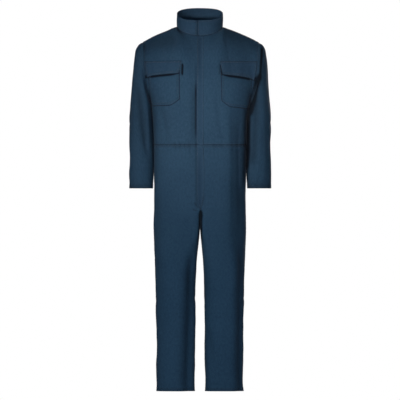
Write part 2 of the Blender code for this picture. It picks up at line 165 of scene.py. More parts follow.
def hump(distance: Array, width: float) -> Array:
    """A soft bump, 1 in the middle and nearly 0 two widths away."""
    return np.exp(-((distance / width) ** 2))


def oval(angle: Array, square: Array) -> tuple[Array, Array]:
    """Sine and cosine, pushed out from a circle to a squarer oval.

    Args:
        angle: Angles round it.
        square: How square the oval is: 2 is a circle.

    Returns:
        The two distances from the centre.
    """
    sine = np.sin(angle)
    cosine = np.cos(angle)
    reach = (np.abs(sine) ** square + np.abs(cosine) ** square) ** (-1 / square)
    return sine * reach, cosine * reach


def lengths(points: Array, axis: int) -> Array:
    """The distance run along rows (axis 1) or up columns (axis 0), from 0 at each one's start.

    Args:
        points: A grid of points.
        axis: 1 to run along rows, 0 to run up columns.

    Returns:
        The distance at each point.
    """
    steps = np.linalg.norm(np.diff(points, axis=axis), axis=-1)
    run = np.cumsum(steps, axis=axis)
    return np.concatenate([np.zeros_like(np.take(run, [0], axis)), run], axis=axis)


def surface_normals(surface: Surface, u: Array, v: Array, step: float = 1e-4) -> Array:
    """Unit normals of surface(u, v), along its u direction crossed with its v direction.

    Args:
        surface: Gives points for u and v.
        u: First places.
        v: Second places.
        step: How far to look either way.

    Returns:
        The normals.
    """
    along_u = surface(u + step, v) - surface(u - step, v)
    along_v = surface(u, v + step) - surface(u, v - step)
    return unit(np.cross(unit(along_u), unit(along_v)))


def along_line(places: Array, run: Array, values: Array) -> Array:
    """Values at places along a line, which has one row of values at each distance run."""
    return np.stack([np.interp(places, run, values[:, k]) for k in range(3)], axis=-1)


def distances(points: Array) -> Array:
    """The distance run along one line of points, from 0 at its start."""
    return np.r_[0, np.cumsum(np.linalg.norm(np.diff(points, axis=0), axis=-1))]


def grid_normals(points: Array) -> Array:
    """Unit normals of a grid of points, along its rows crossed with up its columns."""
    return unit(np.cross(np.gradient(points, axis=1), np.gradient(points, axis=0)))


# --- The worn form of the suit --------------------------------------------------------------


class Torso(NamedTuple):
    """The torso's oval at one height. It is squarer than an ellipse where `square` is over 2."""

    height: float
    half_width: float
    front: float
    back: float
    middle: float
    square: float


class Leg(NamedTuple):
    """One leg's oval at one height. Its inner half has a squareness of its own."""

    height: float
    inner: float
    outer: float
    front: float
    back: float
    middle: float
    inner_square: float
    outer_square: float


class Ring(NamedTuple):
    """One ring of a sleeve, between an underarm point and an outer point in the XZ plane."""

    along: float
    inner_x: float
    inner_z: float
    outer_x: float
    outer_z: float
    front: float
    back: float
    middle: float


class Neck(NamedTuple):
    """Half of the neckline: its depth, its rise and how steeply the panel arrives there."""

    depth: float
    rise: float
    leaving: float


class Tip(NamedTuple):
    """A shoulder's outer end."""

    x: float
    z: float


@dataclass(frozen=True)
class WornForm:
    """The suit's shape when worn, in metres, before its folds and seams."""

    waist: float = -0.519
    armpit: float = -0.325
    crotch: float = -0.905
    thigh: float = -1.050  # where the outer sides start to change from leg to torso
    rise_top: float = -0.798
    hem: float = -1.602
    torso: tuple[Torso, ...] = (
        Torso(-0.905, 0.2012, 0.122, 0.128, 0.004, 2.50),
        Torso(-0.798, 0.2022, 0.126, 0.138, 0.004, 2.50),
        Torso(-0.690, 0.2024, 0.127, 0.140, 0.002, 2.50),
        Torso(-0.600, 0.2024, 0.126, 0.128, 0.000, 2.50),
        Torso(-0.519, 0.2030, 0.124, 0.112, 0.000, 2.50),
        Torso(-0.440, 0.2060, 0.130, 0.113, 0.000, 2.50),
        Torso(-0.375, 0.2110, 0.134, 0.120, 0.000, 2.45),
        Torso(-0.325, 0.2165, 0.134, 0.126, 0.000, 2.40),
    )
    leg: tuple[Leg, ...] = (
        Leg(-1.602, 0.0218, 0.1936, 0.070, 0.074, 0.014, 2.3, 2.3),
        Leg(-1.450, 0.0186, 0.1936, 0.075, 0.079, 0.012, 2.3, 2.3),
        Leg(-1.330, 0.0180, 0.1938, 0.080, 0.084, 0.010, 2.3, 2.3),
        Leg(-1.200, 0.0177, 0.1955, 0.087, 0.090, 0.008, 2.4, 2.3),
        Leg(-1.100, 0.0160, 0.1975, 0.095, 0.100, 0.006, 2.8, 2.4),
        Leg(-1.000, 0.0118, 0.1985, 0.105, 0.111, 0.004, 4.0, 2.4),
        Leg(-0.940, 0.0052, 0.2000, 0.112, 0.119, 0.004, 6.5, 2.5),
        Leg(-0.905, 0.0015, 0.2012, 0.115, 0.123, 0.004, 9.5, 2.5),
        Leg(-0.880, -0.0004, 0.2014, 0.117, 0.126, 0.004, 10.0, 2.5),
        Leg(-0.798, -0.0005, 0.2022, 0.121, 0.131, 0.004, 10.0, 2.5),
    )
    # The rise seams: a narrow slit from the crotch up, closing at rise_top.
    rise_slit: float = 0.55
    rise_curve: float = 0.7
    rise_turn: float = radians(38)
    corner: float = radians(45)
    wall_share: float = 0.18
    # The neckline, the shoulder seams and the armholes.
    neck_half: float = 0.101
    neck_middle: float = 0.002
    neck_front: Neck = Neck(0.068, -0.0395, radians(58))
    neck_back: Neck = Neck(0.068, 0.012, radians(72))
    neck_curve: float = 1.35
    neck_share: float = 5 / 12
    shoulder_curve: float = 1.2
    tip_left: Tip = Tip(0.258, -0.0705)
    tip_right: Tip = Tip(0.251, -0.0665)
    armhole_front: float = 0.071
    armhole_back: float = 0.074
    hook_left: float = 3.4
    hook_right: float = 3.0
    armhole_point: float = 0.75
    armhole_spread: float = 6
    armpit_share: float = 1 / 3
    start_pull: float = 1.25
    end_pull: float = 1.15
    # The sleeves.
    sleeve_rings: tuple[Ring, ...] = (
        Ring(0.000, 0.2171, -0.325, 0.2550, -0.069, 0.071, 0.074, 0.000),
        Ring(0.020, 0.2148, -0.331, 0.2710, -0.078, 0.075, 0.078, 0.000),
        Ring(0.042, 0.2140, -0.338, 0.2830, -0.096, 0.077, 0.080, 0.001),
        Ring(0.080, 0.2131, -0.347, 0.2905, -0.133, 0.079, 0.081, 0.002),
        Ring(0.130, 0.2120, -0.359, 0.2965, -0.183, 0.079, 0.081, 0.004),
        Ring(0.190, 0.2110, -0.376, 0.3022, -0.245, 0.078, 0.079, 0.008),
        Ring(0.260, 0.2086, -0.404, 0.3075, -0.317, 0.076, 0.076, 0.013),
        Ring(0.330, 0.2058, -0.442, 0.3110, -0.388, 0.073, 0.073, 0.018),
        Ring(0.405, 0.2040, -0.491, 0.3120, -0.460, 0.069, 0.069, 0.022),
        Ring(0.475, 0.2027, -0.545, 0.3122, -0.530, 0.065, 0.064, 0.021),
        Ring(0.545, 0.2025, -0.605, 0.3122, -0.600, 0.060, 0.059, 0.013),
        Ring(0.605, 0.2046, -0.661, 0.3120, -0.660, 0.055, 0.053, 0.002),
        Ring(0.655, 0.2088, -0.710, 0.3115, -0.710, 0.049, 0.047, -0.008),
    )
    sleeve_square: float = 2.25
    armhole_fade: float = 0.16
    sleeve_tuck: float = 0.0025  # how far a sleeve's head runs in under the bodice
    # The collar, a band round the neckline.
    collar_half: float = 0.1015
    collar_depth: float = 0.062
    collar_middle: float = -0.002
    collar_height: float = 0.0585
    collar_tilt_front: float = 0.0300
    collar_tilt_back: float = 0.0265
    collar_square: float = 2.4
    collar_opening: float = -0.0125
    collar_swell: float = 0.0012
    collar_proud: float = 0.0022
    collar_proud_arc: float = 0.35
    collar_sunk: float = 0.0015  # how far its base goes in behind the neckline
    collar_round: float = 0.007  # radius of the top corner on the end that lies in front

    def torso_ring(self, side: Side, face: Face, across: Array, height: Array) -> Array:
        """The torso's oval, from the centre line (across 0) to the side seam (across 1).

        Args:
            side: Which side of the wearer.
            face: The front or the back.
            across: Shares across the panel.
            height: Heights.

        Returns:
            Points on the oval.
        """
        half_width, front, back, middle, square = read(self.torso, height)
        out, forward = oval(across * pi / 2, square)
        depth = front if face is Face.FRONT else back
        return point(
            side.value * half_width * out, middle + face.value * depth * forward, height
        )

    def torso_across(self, share: Array, height: Array) -> Array:
        """How far across the torso's oval a share of its half width comes.

        Args:
            share: Shares of the half width.
            height: Heights.

        Returns:
            Shares of the way round.
        """
        square = read(self.torso, height)[4]
        share = np.clip(share, 0, 1)
        return np.arctan2(share, (1 - share**square) ** (1 / square)) / (pi / 2)

    def leg_ring(self, side: Side, face: Face, angle: Array, height: Array) -> Array:
        """Half of a leg's oval, from the inseam (angle 0) to the side seam (angle pi).

        Args:
            side: Which side of the wearer.
            face: The front or the back.
            angle: Angles round it.
            height: Heights.

        Returns:
            Points on the oval.
        """
        inner, outer, front, back, middle, inner_square, outer_square = read(self.leg, height)
        forward, inwards = oval(angle, np.where(angle < pi / 2, inner_square, outer_square))
        depth = front if face is Face.FRONT else back
        half = (outer - inner) / 2
        return point(
            side.value * (inner + half - half * inwards),
            middle + face.value * depth * forward,
            height,
        )

    def trousers(self, side: Side, face: Face, across: Array, up: Array) -> Array:
        """A trouser panel, from the hem to the waist.

        From the crotch up, the seam between the legs moves forwards or back along the legs'
        inner walls to their corners. There the two legs' ovals become the torso's.

        Args:
            side: Which leg.
            face: The front or the back panel.
            across: 0 at the inseam or the rise seam, 1 at the side seam.
            up: 0 at the hem, 1 at the waist.

        Returns:
            Points on the panel.
        """
        height = self.hem + (self.waist - self.hem) * up
        rise = np.clip((height - self.crotch) / (self.rise_top - self.crotch), 0, 1)
        slit_top = self.crotch + self.rise_slit * (self.rise_top - self.crotch)
        apart = np.clip((across - self.wall_share) / (1 - self.wall_share), 0, 1)
        start_height = slit_top + (self.thigh - slit_top) * ease(1.6 * apart)
        joined = ease((height - start_height) / (self.rise_top - start_height))[..., None]
        start = self.rise_turn * rise**self.rise_curve
        wall = start + (self.corner - start) * across / self.wall_share
        beyond = (across - self.wall_share) / (1 - self.wall_share)
        outside = self.corner + (pi - self.corner) * beyond
        angle = np.where(across < self.wall_share, wall, outside)
        leg = self.leg_ring(side, face, angle, height)
        first = self.leg_ring(side, face, start, height)[..., 0]
        last = self.leg_ring(side, face, pi + 0 * up, height)[..., 0]
        bunched = self.torso_across((leg[..., 0] - first) / (last - first), height)
        spread = ease((height - self.rise_top) / (self.waist - self.rise_top))
        torso = self.torso_ring(side, face, bunched + spread * (across - bunched), height)
        return leg + joined * (torso - leg)

    def tip(self, side: Side) -> Tip:
        """A shoulder's outer end."""
        return self.tip_left if side is Side.LEFT else self.tip_right

    def neck(self, face: Face) -> Neck:
        """The front or the back half of the neckline."""
        return self.neck_front if face is Face.FRONT else self.neck_back

    def armhole(self, side: Side, face: Face, t: Array) -> Array:
        """Half of the armhole, from the underarm (t 0) to the shoulder (t 1).

        Args:
            side: Which side of the wearer.
            face: The front or the back.
            t: Shares of the way up.

        Returns:
            Points on the armhole.
        """
        half_width, middle = read(self.torso, np.full(np.shape(t), self.armpit))[[0, 3]]
        tip = self.tip(side)
        depth = self.armhole_front if face is Face.FRONT else self.armhole_back
        hook = self.hook_left if side is Side.LEFT else self.hook_right
        foot = self.armhole_point * np.abs(t) * (1 - t) ** 2
        climb = np.clip((1 - np.cos(pi * t)) / 2 + foot, 0, 1)
        return point(
            side.value * (tip.x - (tip.x - half_width) * (1 - climb) ** hook),
            middle + face.value * depth * np.sin(pi * t),
            self.armpit + (tip.z - self.armpit) * climb,
        )

    def neckline(self, side: Side, face: Face, turn: Array) -> Array:
        """The neckline, from the centre line (turn 0) to the side neck point (turn pi / 2).

        Args:
            side: Which side of the wearer.
            face: The front or the back.
            turn: Angles round it.

        Returns:
            Points on the neckline.
        """
        forward = np.clip(np.cos(turn), 0, 1)
        neck = self.neck(face)
        return point(
            side.value * self.neck_half * np.sin(turn),
            self.neck_middle + face.value * neck.depth * forward,
            neck.rise * forward**self.neck_curve,
        )

    def top_edge(self, side: Side, face: Face, across: Array) -> tuple[Array, Array]:
        """The neckline then the shoulder seam, and the way a bodice panel arrives at them.

        Args:
            side: Which side of the wearer.
            face: The front or the back.
            across: Shares across the panel.

        Returns:
            Points on the edge, and the directions there.
        """
        tip = self.tip(side)
        turn = np.clip(across / self.neck_share, -1, 1) * pi / 2
        out = np.clip((across - self.neck_share) / (1 - self.neck_share), 0, 1)
        seam = point(
            side.value * (tip.x - self.neck_half) * out,
            -self.neck_middle * out,
            tip.z * out**self.shoulder_curve,
        )
        lean = self.neck(face).leaving * (1 - ease(across / self.neck_share))
        arriving = point(0, -face.value * np.cos(lean), np.sin(lean))
        return self.neckline(side, face, turn) + seam, arriving

    def column(self, side: Side, face: Face, across: Array, t: Array) -> Array:
        """The upper bodice on the line `across`, from the armpit (t 0) to the top edge.

        Args:
            side: Which side of the wearer.
            face: The front or the back.
            across: Shares across the panel.
            t: Shares of the way up.

        Returns:
            Points on the bodice.
        """
        level = np.full(np.shape(across), self.armpit)
        start = self.torso_ring(side, face, across, level)
        leaving = (start - self.torso_ring(side, face, across, level - 0.01)) / 0.01
        end, arriving = self.top_edge(side, face, across)
        reach = np.linalg.norm(end - start, axis=-1, keepdims=True)
        t = t[..., None]
        curve = (2 * t**3 - 3 * t**2 + 1) * start + (3 * t**2 - 2 * t**3) * end
        curve += (t**3 - 2 * t**2 + t) * reach * self.start_pull * leaving
        curve += (t**3 - t**2) * reach * self.end_pull * arriving
        return curve

    def bodice(self, side: Side, face: Face, across: Array, up: Array) -> Array:
        """A bodice panel.

        Args:
            side: Which half of the body.
            face: The front or the back.
            across: 0 at the centre line, 1 at the side seam and the armhole.
            up: 0 at the waist, 1 at the neckline and the shoulder seam.

        Returns:
            Points on the panel.
        """
        rise = np.clip(up / self.armpit_share, 0, 1)
        height = self.waist + (self.armpit - self.waist) * rise
        t = np.clip((up - self.armpit_share) / (1 - self.armpit_share), 0, 1)
        side_line = self.column(side, face, np.ones(np.shape(across)), t)
        shift = self.armhole(side, face, t) - side_line
        upper = self.column(side, face, across, t)
        upper = upper + np.abs(across[..., None]) ** self.armhole_spread * shift
        return np.where(t[..., None] > 0, upper, self.torso_ring(side, face, across, height))

    def sleeve(self, side: Side, turn: Array, share: Array) -> Array:
        """A sleeve.

        Args:
            side: Which arm.
            turn: 0 at the underarm seam, then round by the front to 1 at the same seam.
            share: 0 at the armhole, 1 at the cuff.

        Returns:
            Points on the sleeve.
        """
        along = share * self.sleeve_rings[-1].along
        is_front = turn < 0.5
        t = np.clip(np.where(is_front, 2 * turn, 2 - 2 * turn), 0, 1)
        fore = self.armhole(side, Face.FRONT, t)
        rear = self.armhole(side, Face.BACK, t)
        edge = np.where(is_front[..., None], fore, rear) * [side.value, 1, 1]

        def ring(at: Array) -> Array:
            """The sleeve's own oval at a distance along it, before it meets the armhole.

            Args:
                at: Distances along the sleeve.

            Returns:
                Points on the oval.
            """
            inner_x, inner_z, outer_x, outer_z, front, back, middle = read(self.sleeve_rings, at)
            deep, down = oval(pi * np.where(is_front, 2 * turn, 2 - 2 * turn), self.sleeve_square)
            climb = (1 - down) / 2
            return point(
                inner_x + (outer_x - inner_x) * climb,
                middle + np.where(is_front, -front, back) * deep,
                inner_z + (outer_z - inner_z) * climb,
            )

        fade = 1 - ease(along / self.armhole_fade)[..., None]
        body = ring(along) + fade * (edge - ring(np.zeros(np.shape(along))))
        tuck = self.sleeve_tuck * hump(along, 0.004)[..., None]
        return (body - tuck * [1, 0, 0.3]) * [side.value, 1, 1]

    def collar_turns(self) -> tuple[float, float]:
        """Where the collar starts and ends, as angles round the neck from the centre front.

        Returns:
            The two angles.
        """
        gap = 0.0006
        start = asin((self.collar_opening + gap) / self.neck_half)
        return start, 2 * pi + asin((self.collar_opening - gap) / self.neck_half)

    def collar(self, turn: Array, up: Array) -> Array:
        """The collar's outer face.

        Args:
            turn: The angle round from its left end, by the back, to its right end.
            up: 0 at the neckline, 1 at the top edge.

        Returns:
            Points on the collar.
        """
        is_front = np.cos(turn) > 0
        out, forward = oval(turn, self.collar_square)
        tilt = np.where(is_front, self.collar_tilt_front, self.collar_tilt_back)
        to_end = (self.collar_turns()[1] - turn) * self.collar_depth
        short = np.clip(self.collar_round - to_end, 0, self.collar_round)
        corner = self.collar_round - np.sqrt(self.collar_round**2 - short**2)
        top = point(
            self.collar_half * out,
            self.collar_middle - self.collar_depth * forward,
            self.collar_height - tilt * forward - corner,
        )
        fore = self.neckline(Side.LEFT, Face.FRONT, turn)
        rear = self.neckline(Side.LEFT, Face.BACK, pi - turn)
        base = np.where(is_front[..., None], fore, rear) - [0, 0, self.collar_sunk]
        outwards = point(np.sin(turn), -np.cos(turn), 0 * turn)
        nearing = (self.collar_turns()[1] - turn) / self.collar_proud_arc
        proud = self.collar_proud * ease(1 - nearing)
        swell = self.collar_swell * np.sin(pi * np.clip(up, 0, 1)) + proud
        return base + up[..., None] * (top - base) + outwards * swell[..., None]


FORM = WornForm()


# --- Folds, dents and seams -----------------------------------------------------------------


@dataclass(frozen=True)
class Fold:
    """A soft ridge in the cloth, or a trough where its depth is minus.

    It runs on a bowed line, seen the way that it faces, and fades where the cloth turns away.
    `lean` over 0 spreads the side that lies to the right of a line that runs down.
    """

    facing: Facing
    from_across: float
    from_height: float
    to_across: float
    to_height: float
    width: float
    depth: float
    bow: float = 0.0
    lean: float = 0.0
    taper: float = 0.25

    def rise(self, points: Array, out: Array) -> Array:
        """How far the fold moves each point outwards.

        Args:
            points: Points on the cloth.
            out: The directions out of the cloth there.

        Returns:
            A distance for each point.
        """
        across, axis, sign = self.facing.value
        start = np.array([self.from_across, self.from_height])
        run = np.array([self.to_across, self.to_height]) - start
        reach = np.hypot(*run)
        away = points[..., [across, 2]] - start
        share = away @ run / reach**2
        off = (away[..., 1] * run[0] - away[..., 0] * run[1]) / reach
        off = off - self.bow * 4 * share * (1 - share)
        width = self.width * (1 + self.lean * np.tanh(2 * off / self.width))
        ends = ease(share / self.taper) * ease((1 - share) / self.taper)
        facing = ease(1.5 * sign * out[..., axis])
        return self.depth * facing * ends * np.exp(-((off / width) ** 2))


@dataclass(frozen=True)
class Dents:
    """The soft unevenness of worn cloth: long shallow swells with smaller ones on them."""

    seed: int = 7
    sizes: tuple[float, ...] = (0.16, 0.075, 0.034)
    depths: tuple[float, ...] = (0.0011, 0.00050, 0.00016)
    waves: int = 9

    def rise(self, points: Array, out: Array) -> Array:
        """How far the dents move each point outwards.

        Args:
            points: Points on the cloth.
            out: The directions out of the cloth there; not used.

        Returns:
            A distance for each point.
        """
        rng = np.random.default_rng(self.seed)
        total = np.zeros(points.shape[:-1])
        for size, depth in zip(self.sizes, self.depths):
            ways = unit(rng.normal(size=(self.waves, 3)) * [1, 1, 0.55])
            phases = rng.uniform(0, 2 * pi, self.waves)
            waves = size * rng.uniform(0.7, 1.6, self.waves)
            swells = np.sin(points @ (ways.T * 2 * pi / waves) + phases)
            total += depth * swells.sum(axis=-1) * (2 / self.waves) ** 0.5
        return total


@dataclass(frozen=True)
class Seam:
    """How an edge of a cut piece is sewn.

    A lapped edge is doubled, and stands over the piece that it meets by `height`. A minus
    height is the piece beneath. `rows` are the stitch rows, by their distance from the edge, and
    `first` and `last` the share of the edge that this holds for.
    """

    edge: Edge
    lap: float = 0.009
    height: float = 0.0006
    rows: tuple[float, ...] = (0.0015, 0.0075)
    first: float = -1.0
    last: float = 2.0
    rope: float = 0.00022
    # Painted shade: how dark along the edge, how far in it reaches, and how dark along each
    # stitch row.
    edge_shade: float = 0.45
    shade_reach: float = 0.0012
    row_shade: float = 0.40
    pucker: float = 0.0
    pucker_reach: float = 0.018
    fade: float = 0.012  # share of the edge over which the seam starts and stops
    sink: float = 0.00042  # how deep a stitch row pulls the cloth in
    sink_width: float = 0.0010
    row_width: float = 0.0014
    rope_waves: tuple[float, float] = (0.0137, 0.0231)
    pucker_waves: tuple[float, float, float] = (0.0260, 0.118, 0.205)

    def lines(self) -> list[float]:
        """Distances from the edge at which the grid needs a line to hold the seam's shape.

        Returns:
            The distances.
        """
        found = [0.0, 0.0007, self.lap - 0.0009, self.lap + 0.0004, self.lap + 0.0022]
        for row in self.rows:
            found += [row - 0.0011, row, row + 0.0011]
        return found

    def held(self, share: Array) -> Array:
        """How much of the seam there is at a share of the edge, from 0 to 1."""
        return ease((share - self.first) / self.fade) * ease((self.last - share) / self.fade)

    def crevice(self, distance: Array, share: Array) -> Array:
        """How much painted shade each point gets, in the seam's crease and along its stitch rows.

        Args:
            distance: Distances from the edge.
            share: Shares along it.

        Returns:
            The amount of painted shade at each point.
        """
        held = self.held(share)
        depth = sum(self.row_shade * hump(distance - row, self.row_width) for row in self.rows)
        return held * (depth + self.edge_shade * np.exp(-distance / self.shade_reach))

    def rise(self, distance: Array, along: Array, share: Array) -> Array:
        """How far the seam moves each point outwards.

        Args:
            distance: Each point's distance from the edge.
            along: Each point's distance along the edge.
            share: The same as a share of the edge.

        Returns:
            A distance for each point.
        """
        held = self.held(share)
        band = 1 - ease((distance - self.lap) / 0.0020)
        rise = self.height * band
        for row in self.rows:
            rise = rise - self.sink * hump(distance - row, self.sink_width)
        short, long = (2 * pi * along / wave for wave in self.rope_waves)
        ripple = np.sin(short) + 0.7 * np.sin(long + 1.3)
        rise = rise + self.rope * ripple * hump(distance, self.lap + 0.004) * band
        short, middle, long = (2 * pi * along / wave for wave in self.pucker_waves)
        swell = np.sin(short + 1.1 * np.sin(middle))
        swell = swell * (0.65 + 0.35 * np.sin(long + 0.6))
        fade = ease(distance / 0.003) * np.exp(-distance / self.pucker_reach)
        return held * (rise + self.pucker * swell * fade)


def tucked(edge: Edge, first: float = -1.0, last: float = 2.0, pucker: float = 0.0,
           drop: float = 0.0007) -> Seam:
    """The edge of a piece that goes in under a lapped one."""
    return Seam(edge, 0.0020, -drop, (), first, last, 0.0, 1.0, 0.0022, pucker=pucker)


def hemmed(edge: Edge, depth: float) -> Seam:
    """A turned-up hem with one row of stitching at its depth."""
    return Seam(edge, depth + 0.0025, 0.0007, (depth,), rope=0.00030)


# Folds by the way that they face.
at_front, at_back, at_left, at_right = (
    partial(Fold, facing) for facing in (Facing.FRONT, Facing.BACK, Facing.LEFT, Facing.RIGHT)
)

# The folds of the body. Each line is seen from the side that it faces.
BODY_FOLDS = (
    # Fronts: pulls from the collar down, and the drop past each.
    at_front(-0.086, -0.02, -0.05, -0.185, 0.026, 0.001, lean=0.7),
    at_front(-0.06, -0.03, -0.026, -0.19, 0.012, 0.0005, lean=0.7),
    at_front(-0.128, -0.05, -0.1, -0.15, 0.026, -0.0012),
    at_front(0.094, -0.022, 0.062, -0.18, 0.022, 0.0009, lean=0.6),
    at_front(0.05, -0.036, 0.018, -0.175, 0.013, 0.0006, lean=0.6),
    at_front(0.122, -0.05, 0.104, -0.145, 0.026, -0.0008),
    at_front(-0.275, -0.096, -0.085, -0.022, 0.044, -0.0135, taper=0.2),
    at_front(0.275, -0.096, 0.085, -0.022, 0.044, -0.0085, taper=0.2),
    at_front(-0.19, -0.09, -0.168, -0.15, 0.018, -0.0018),
    # Fronts: the hollow beside the fly, and the belly's bright swells.
    at_front(-0.017, -0.18, -0.017, -0.64, 0.019, -0.0062, lean=-0.35, taper=0.3),
    at_front(-0.18, -0.34, -0.15, -0.54, 0.016, -0.0062, bow=0.006),
    at_front(-0.105, -0.34, -0.086, -0.56, 0.034, 0.0032),
    at_front(0.076, -0.29, 0.112, -0.52, 0.016, -0.0046, bow=-0.006),
    at_front(0.124, -0.33, 0.126, -1.0, 0.026, 0.0042, lean=-0.5, taper=0.2),
    at_front(0.184, -0.3, 0.184, -1.06, 0.03, -0.01, lean=-0.2, taper=0.26),
    at_front(-0.2, -0.4, -0.176, -0.52, 0.012, -0.003),
    # Gathers at the waist seam.
    at_front(-0.116, -0.49, -0.113, -0.556, 0.0055, -0.0016),
    at_front(-0.094, -0.478, -0.091, -0.548, 0.006, -0.0018),
    at_front(-0.07, -0.494, -0.069, -0.56, 0.005, -0.0015),
    at_front(-0.048, -0.486, -0.05, -0.545, 0.0055, -0.0014),
    at_front(0.148, -0.492, 0.15, -0.552, 0.006, -0.0012),
    at_front(0.062, -0.498, 0.064, -0.545, 0.006, -0.0009),
    # The lap: pulls that run to the foot of the fly.
    at_front(-0.075, -0.7, -0.008, -0.806, 0.014, -0.0016, bow=0.006),
    at_front(0.085, -0.69, 0.012, -0.8, 0.015, -0.0016, bow=-0.006),
    at_front(-0.06, -0.86, -0.004, -0.812, 0.01, -0.0018),
    at_front(0.056, -0.85, 0.006, -0.812, 0.01, -0.0015),
    at_front(-0.018, -0.745, -0.002, -0.795, 0.006, 0.001),
    # The wearer's right leg, front.
    at_front(-0.028, -0.9, -0.05, -1.76, 0.024, -0.0125, bow=-0.003, taper=0.2),
    at_front(-0.078, -0.96, -0.09, -1.76, 0.03, 0.003, taper=0.2),
    at_front(-0.118, -0.88, -0.112, -1.5, 0.036, 0.0022, bow=0.006),
    at_front(-0.176, -0.98, -0.166, -1.4, 0.02, -0.0022),
    # The wearer's left leg, front.
    at_front(0.186, -0.9, 0.184, -1.76, 0.028, -0.012, taper=0.16),
    at_front(0.142, -0.94, 0.146, -1.74, 0.02, 0.0028, taper=0.2),
    at_front(0.02, -1.29, 0.062, -1.5, 0.012, -0.0028, bow=0.004),
    at_front(0.034, -1.43, 0.045, -1.64, 0.012, 0.0016),
    at_front(0.086, -0.86, 0.09, -1.56, 0.038, 0.0022, bow=-0.006),
    at_front(0.05, -1.0, 0.062, -1.23, 0.018, -0.0016),
    # Back: across the shoulders, down to the waist, and the seat.
    at_back(-0.15, -0.16, -0.166, -0.56, 0.026, -0.0058, bow=0.006),
    at_back(0.15, -0.175, 0.161, -0.56, 0.027, -0.0056, bow=-0.005),
    at_back(-0.06, -0.3, -0.048, -0.56, 0.026, -0.0034),
    at_back(0.072, -0.33, 0.052, -0.555, 0.022, -0.003),
    at_back(-0.088, -0.045, -0.14, -0.15, 0.018, -0.002),
    at_back(0.086, -0.045, 0.134, -0.14, 0.019, -0.0022),
    at_back(-0.06, -0.452, 0.08, -0.474, 0.014, 0.0026, bow=0.006),
    at_back(0.02, -0.5, 0.15, -0.486, 0.011, 0.0018),
    at_back(-0.1, -0.7, -0.012, -0.83, 0.018, -0.0034, bow=0.008),
    at_back(0.108, -0.69, 0.012, -0.828, 0.018, -0.0034, bow=-0.008),
    at_back(-0.14, -0.83, -0.04, -0.88, 0.014, -0.003, bow=-0.006),
    at_back(0.132, -0.82, 0.036, -0.876, 0.014, -0.0026, bow=0.006),
    # Back of the legs.
    at_back(-0.13, -0.96, -0.118, -1.7, 0.023, -0.0058, bow=0.005, taper=0.2),
    at_back(-0.06, -0.92, -0.085, -1.26, 0.02, -0.0044),
    at_back(0.126, -0.98, 0.112, -1.7, 0.023, -0.0058, bow=-0.004, taper=0.2),
    at_back(0.055, -0.92, 0.09, -1.23, 0.02, -0.0044),
    at_back(-0.16, -1.21, -0.05, -1.235, 0.013, -0.0024, bow=0.007),
    at_back(0.052, -1.225, 0.15, -1.205, 0.013, -0.0022, bow=-0.006),
    at_back(0.066, -1.275, 0.14, -1.262, 0.011, -0.0016),
    # Sides.
    at_right(-0.02, -0.56, 0.02, -0.9, 0.02, -0.0036, bow=0.006),
    at_right(0.05, -0.62, 0.034, -1.0, 0.02, -0.0028),
    at_right(0.0, -0.98, 0.016, -1.66, 0.018, -0.004, bow=-0.006, taper=0.2),
    at_right(-0.044, -1.18, 0.03, -1.215, 0.011, -0.002),
    at_left(-0.012, -0.57, 0.024, -0.88, 0.02, -0.0034, bow=-0.006),
    at_left(0.05, -0.6, 0.04, -0.98, 0.02, -0.003),
    at_left(0.004, -1.0, 0.012, -1.66, 0.018, -0.004, bow=0.006, taper=0.2),
    at_left(-0.04, -1.2, 0.036, -1.185, 0.011, -0.002),
)
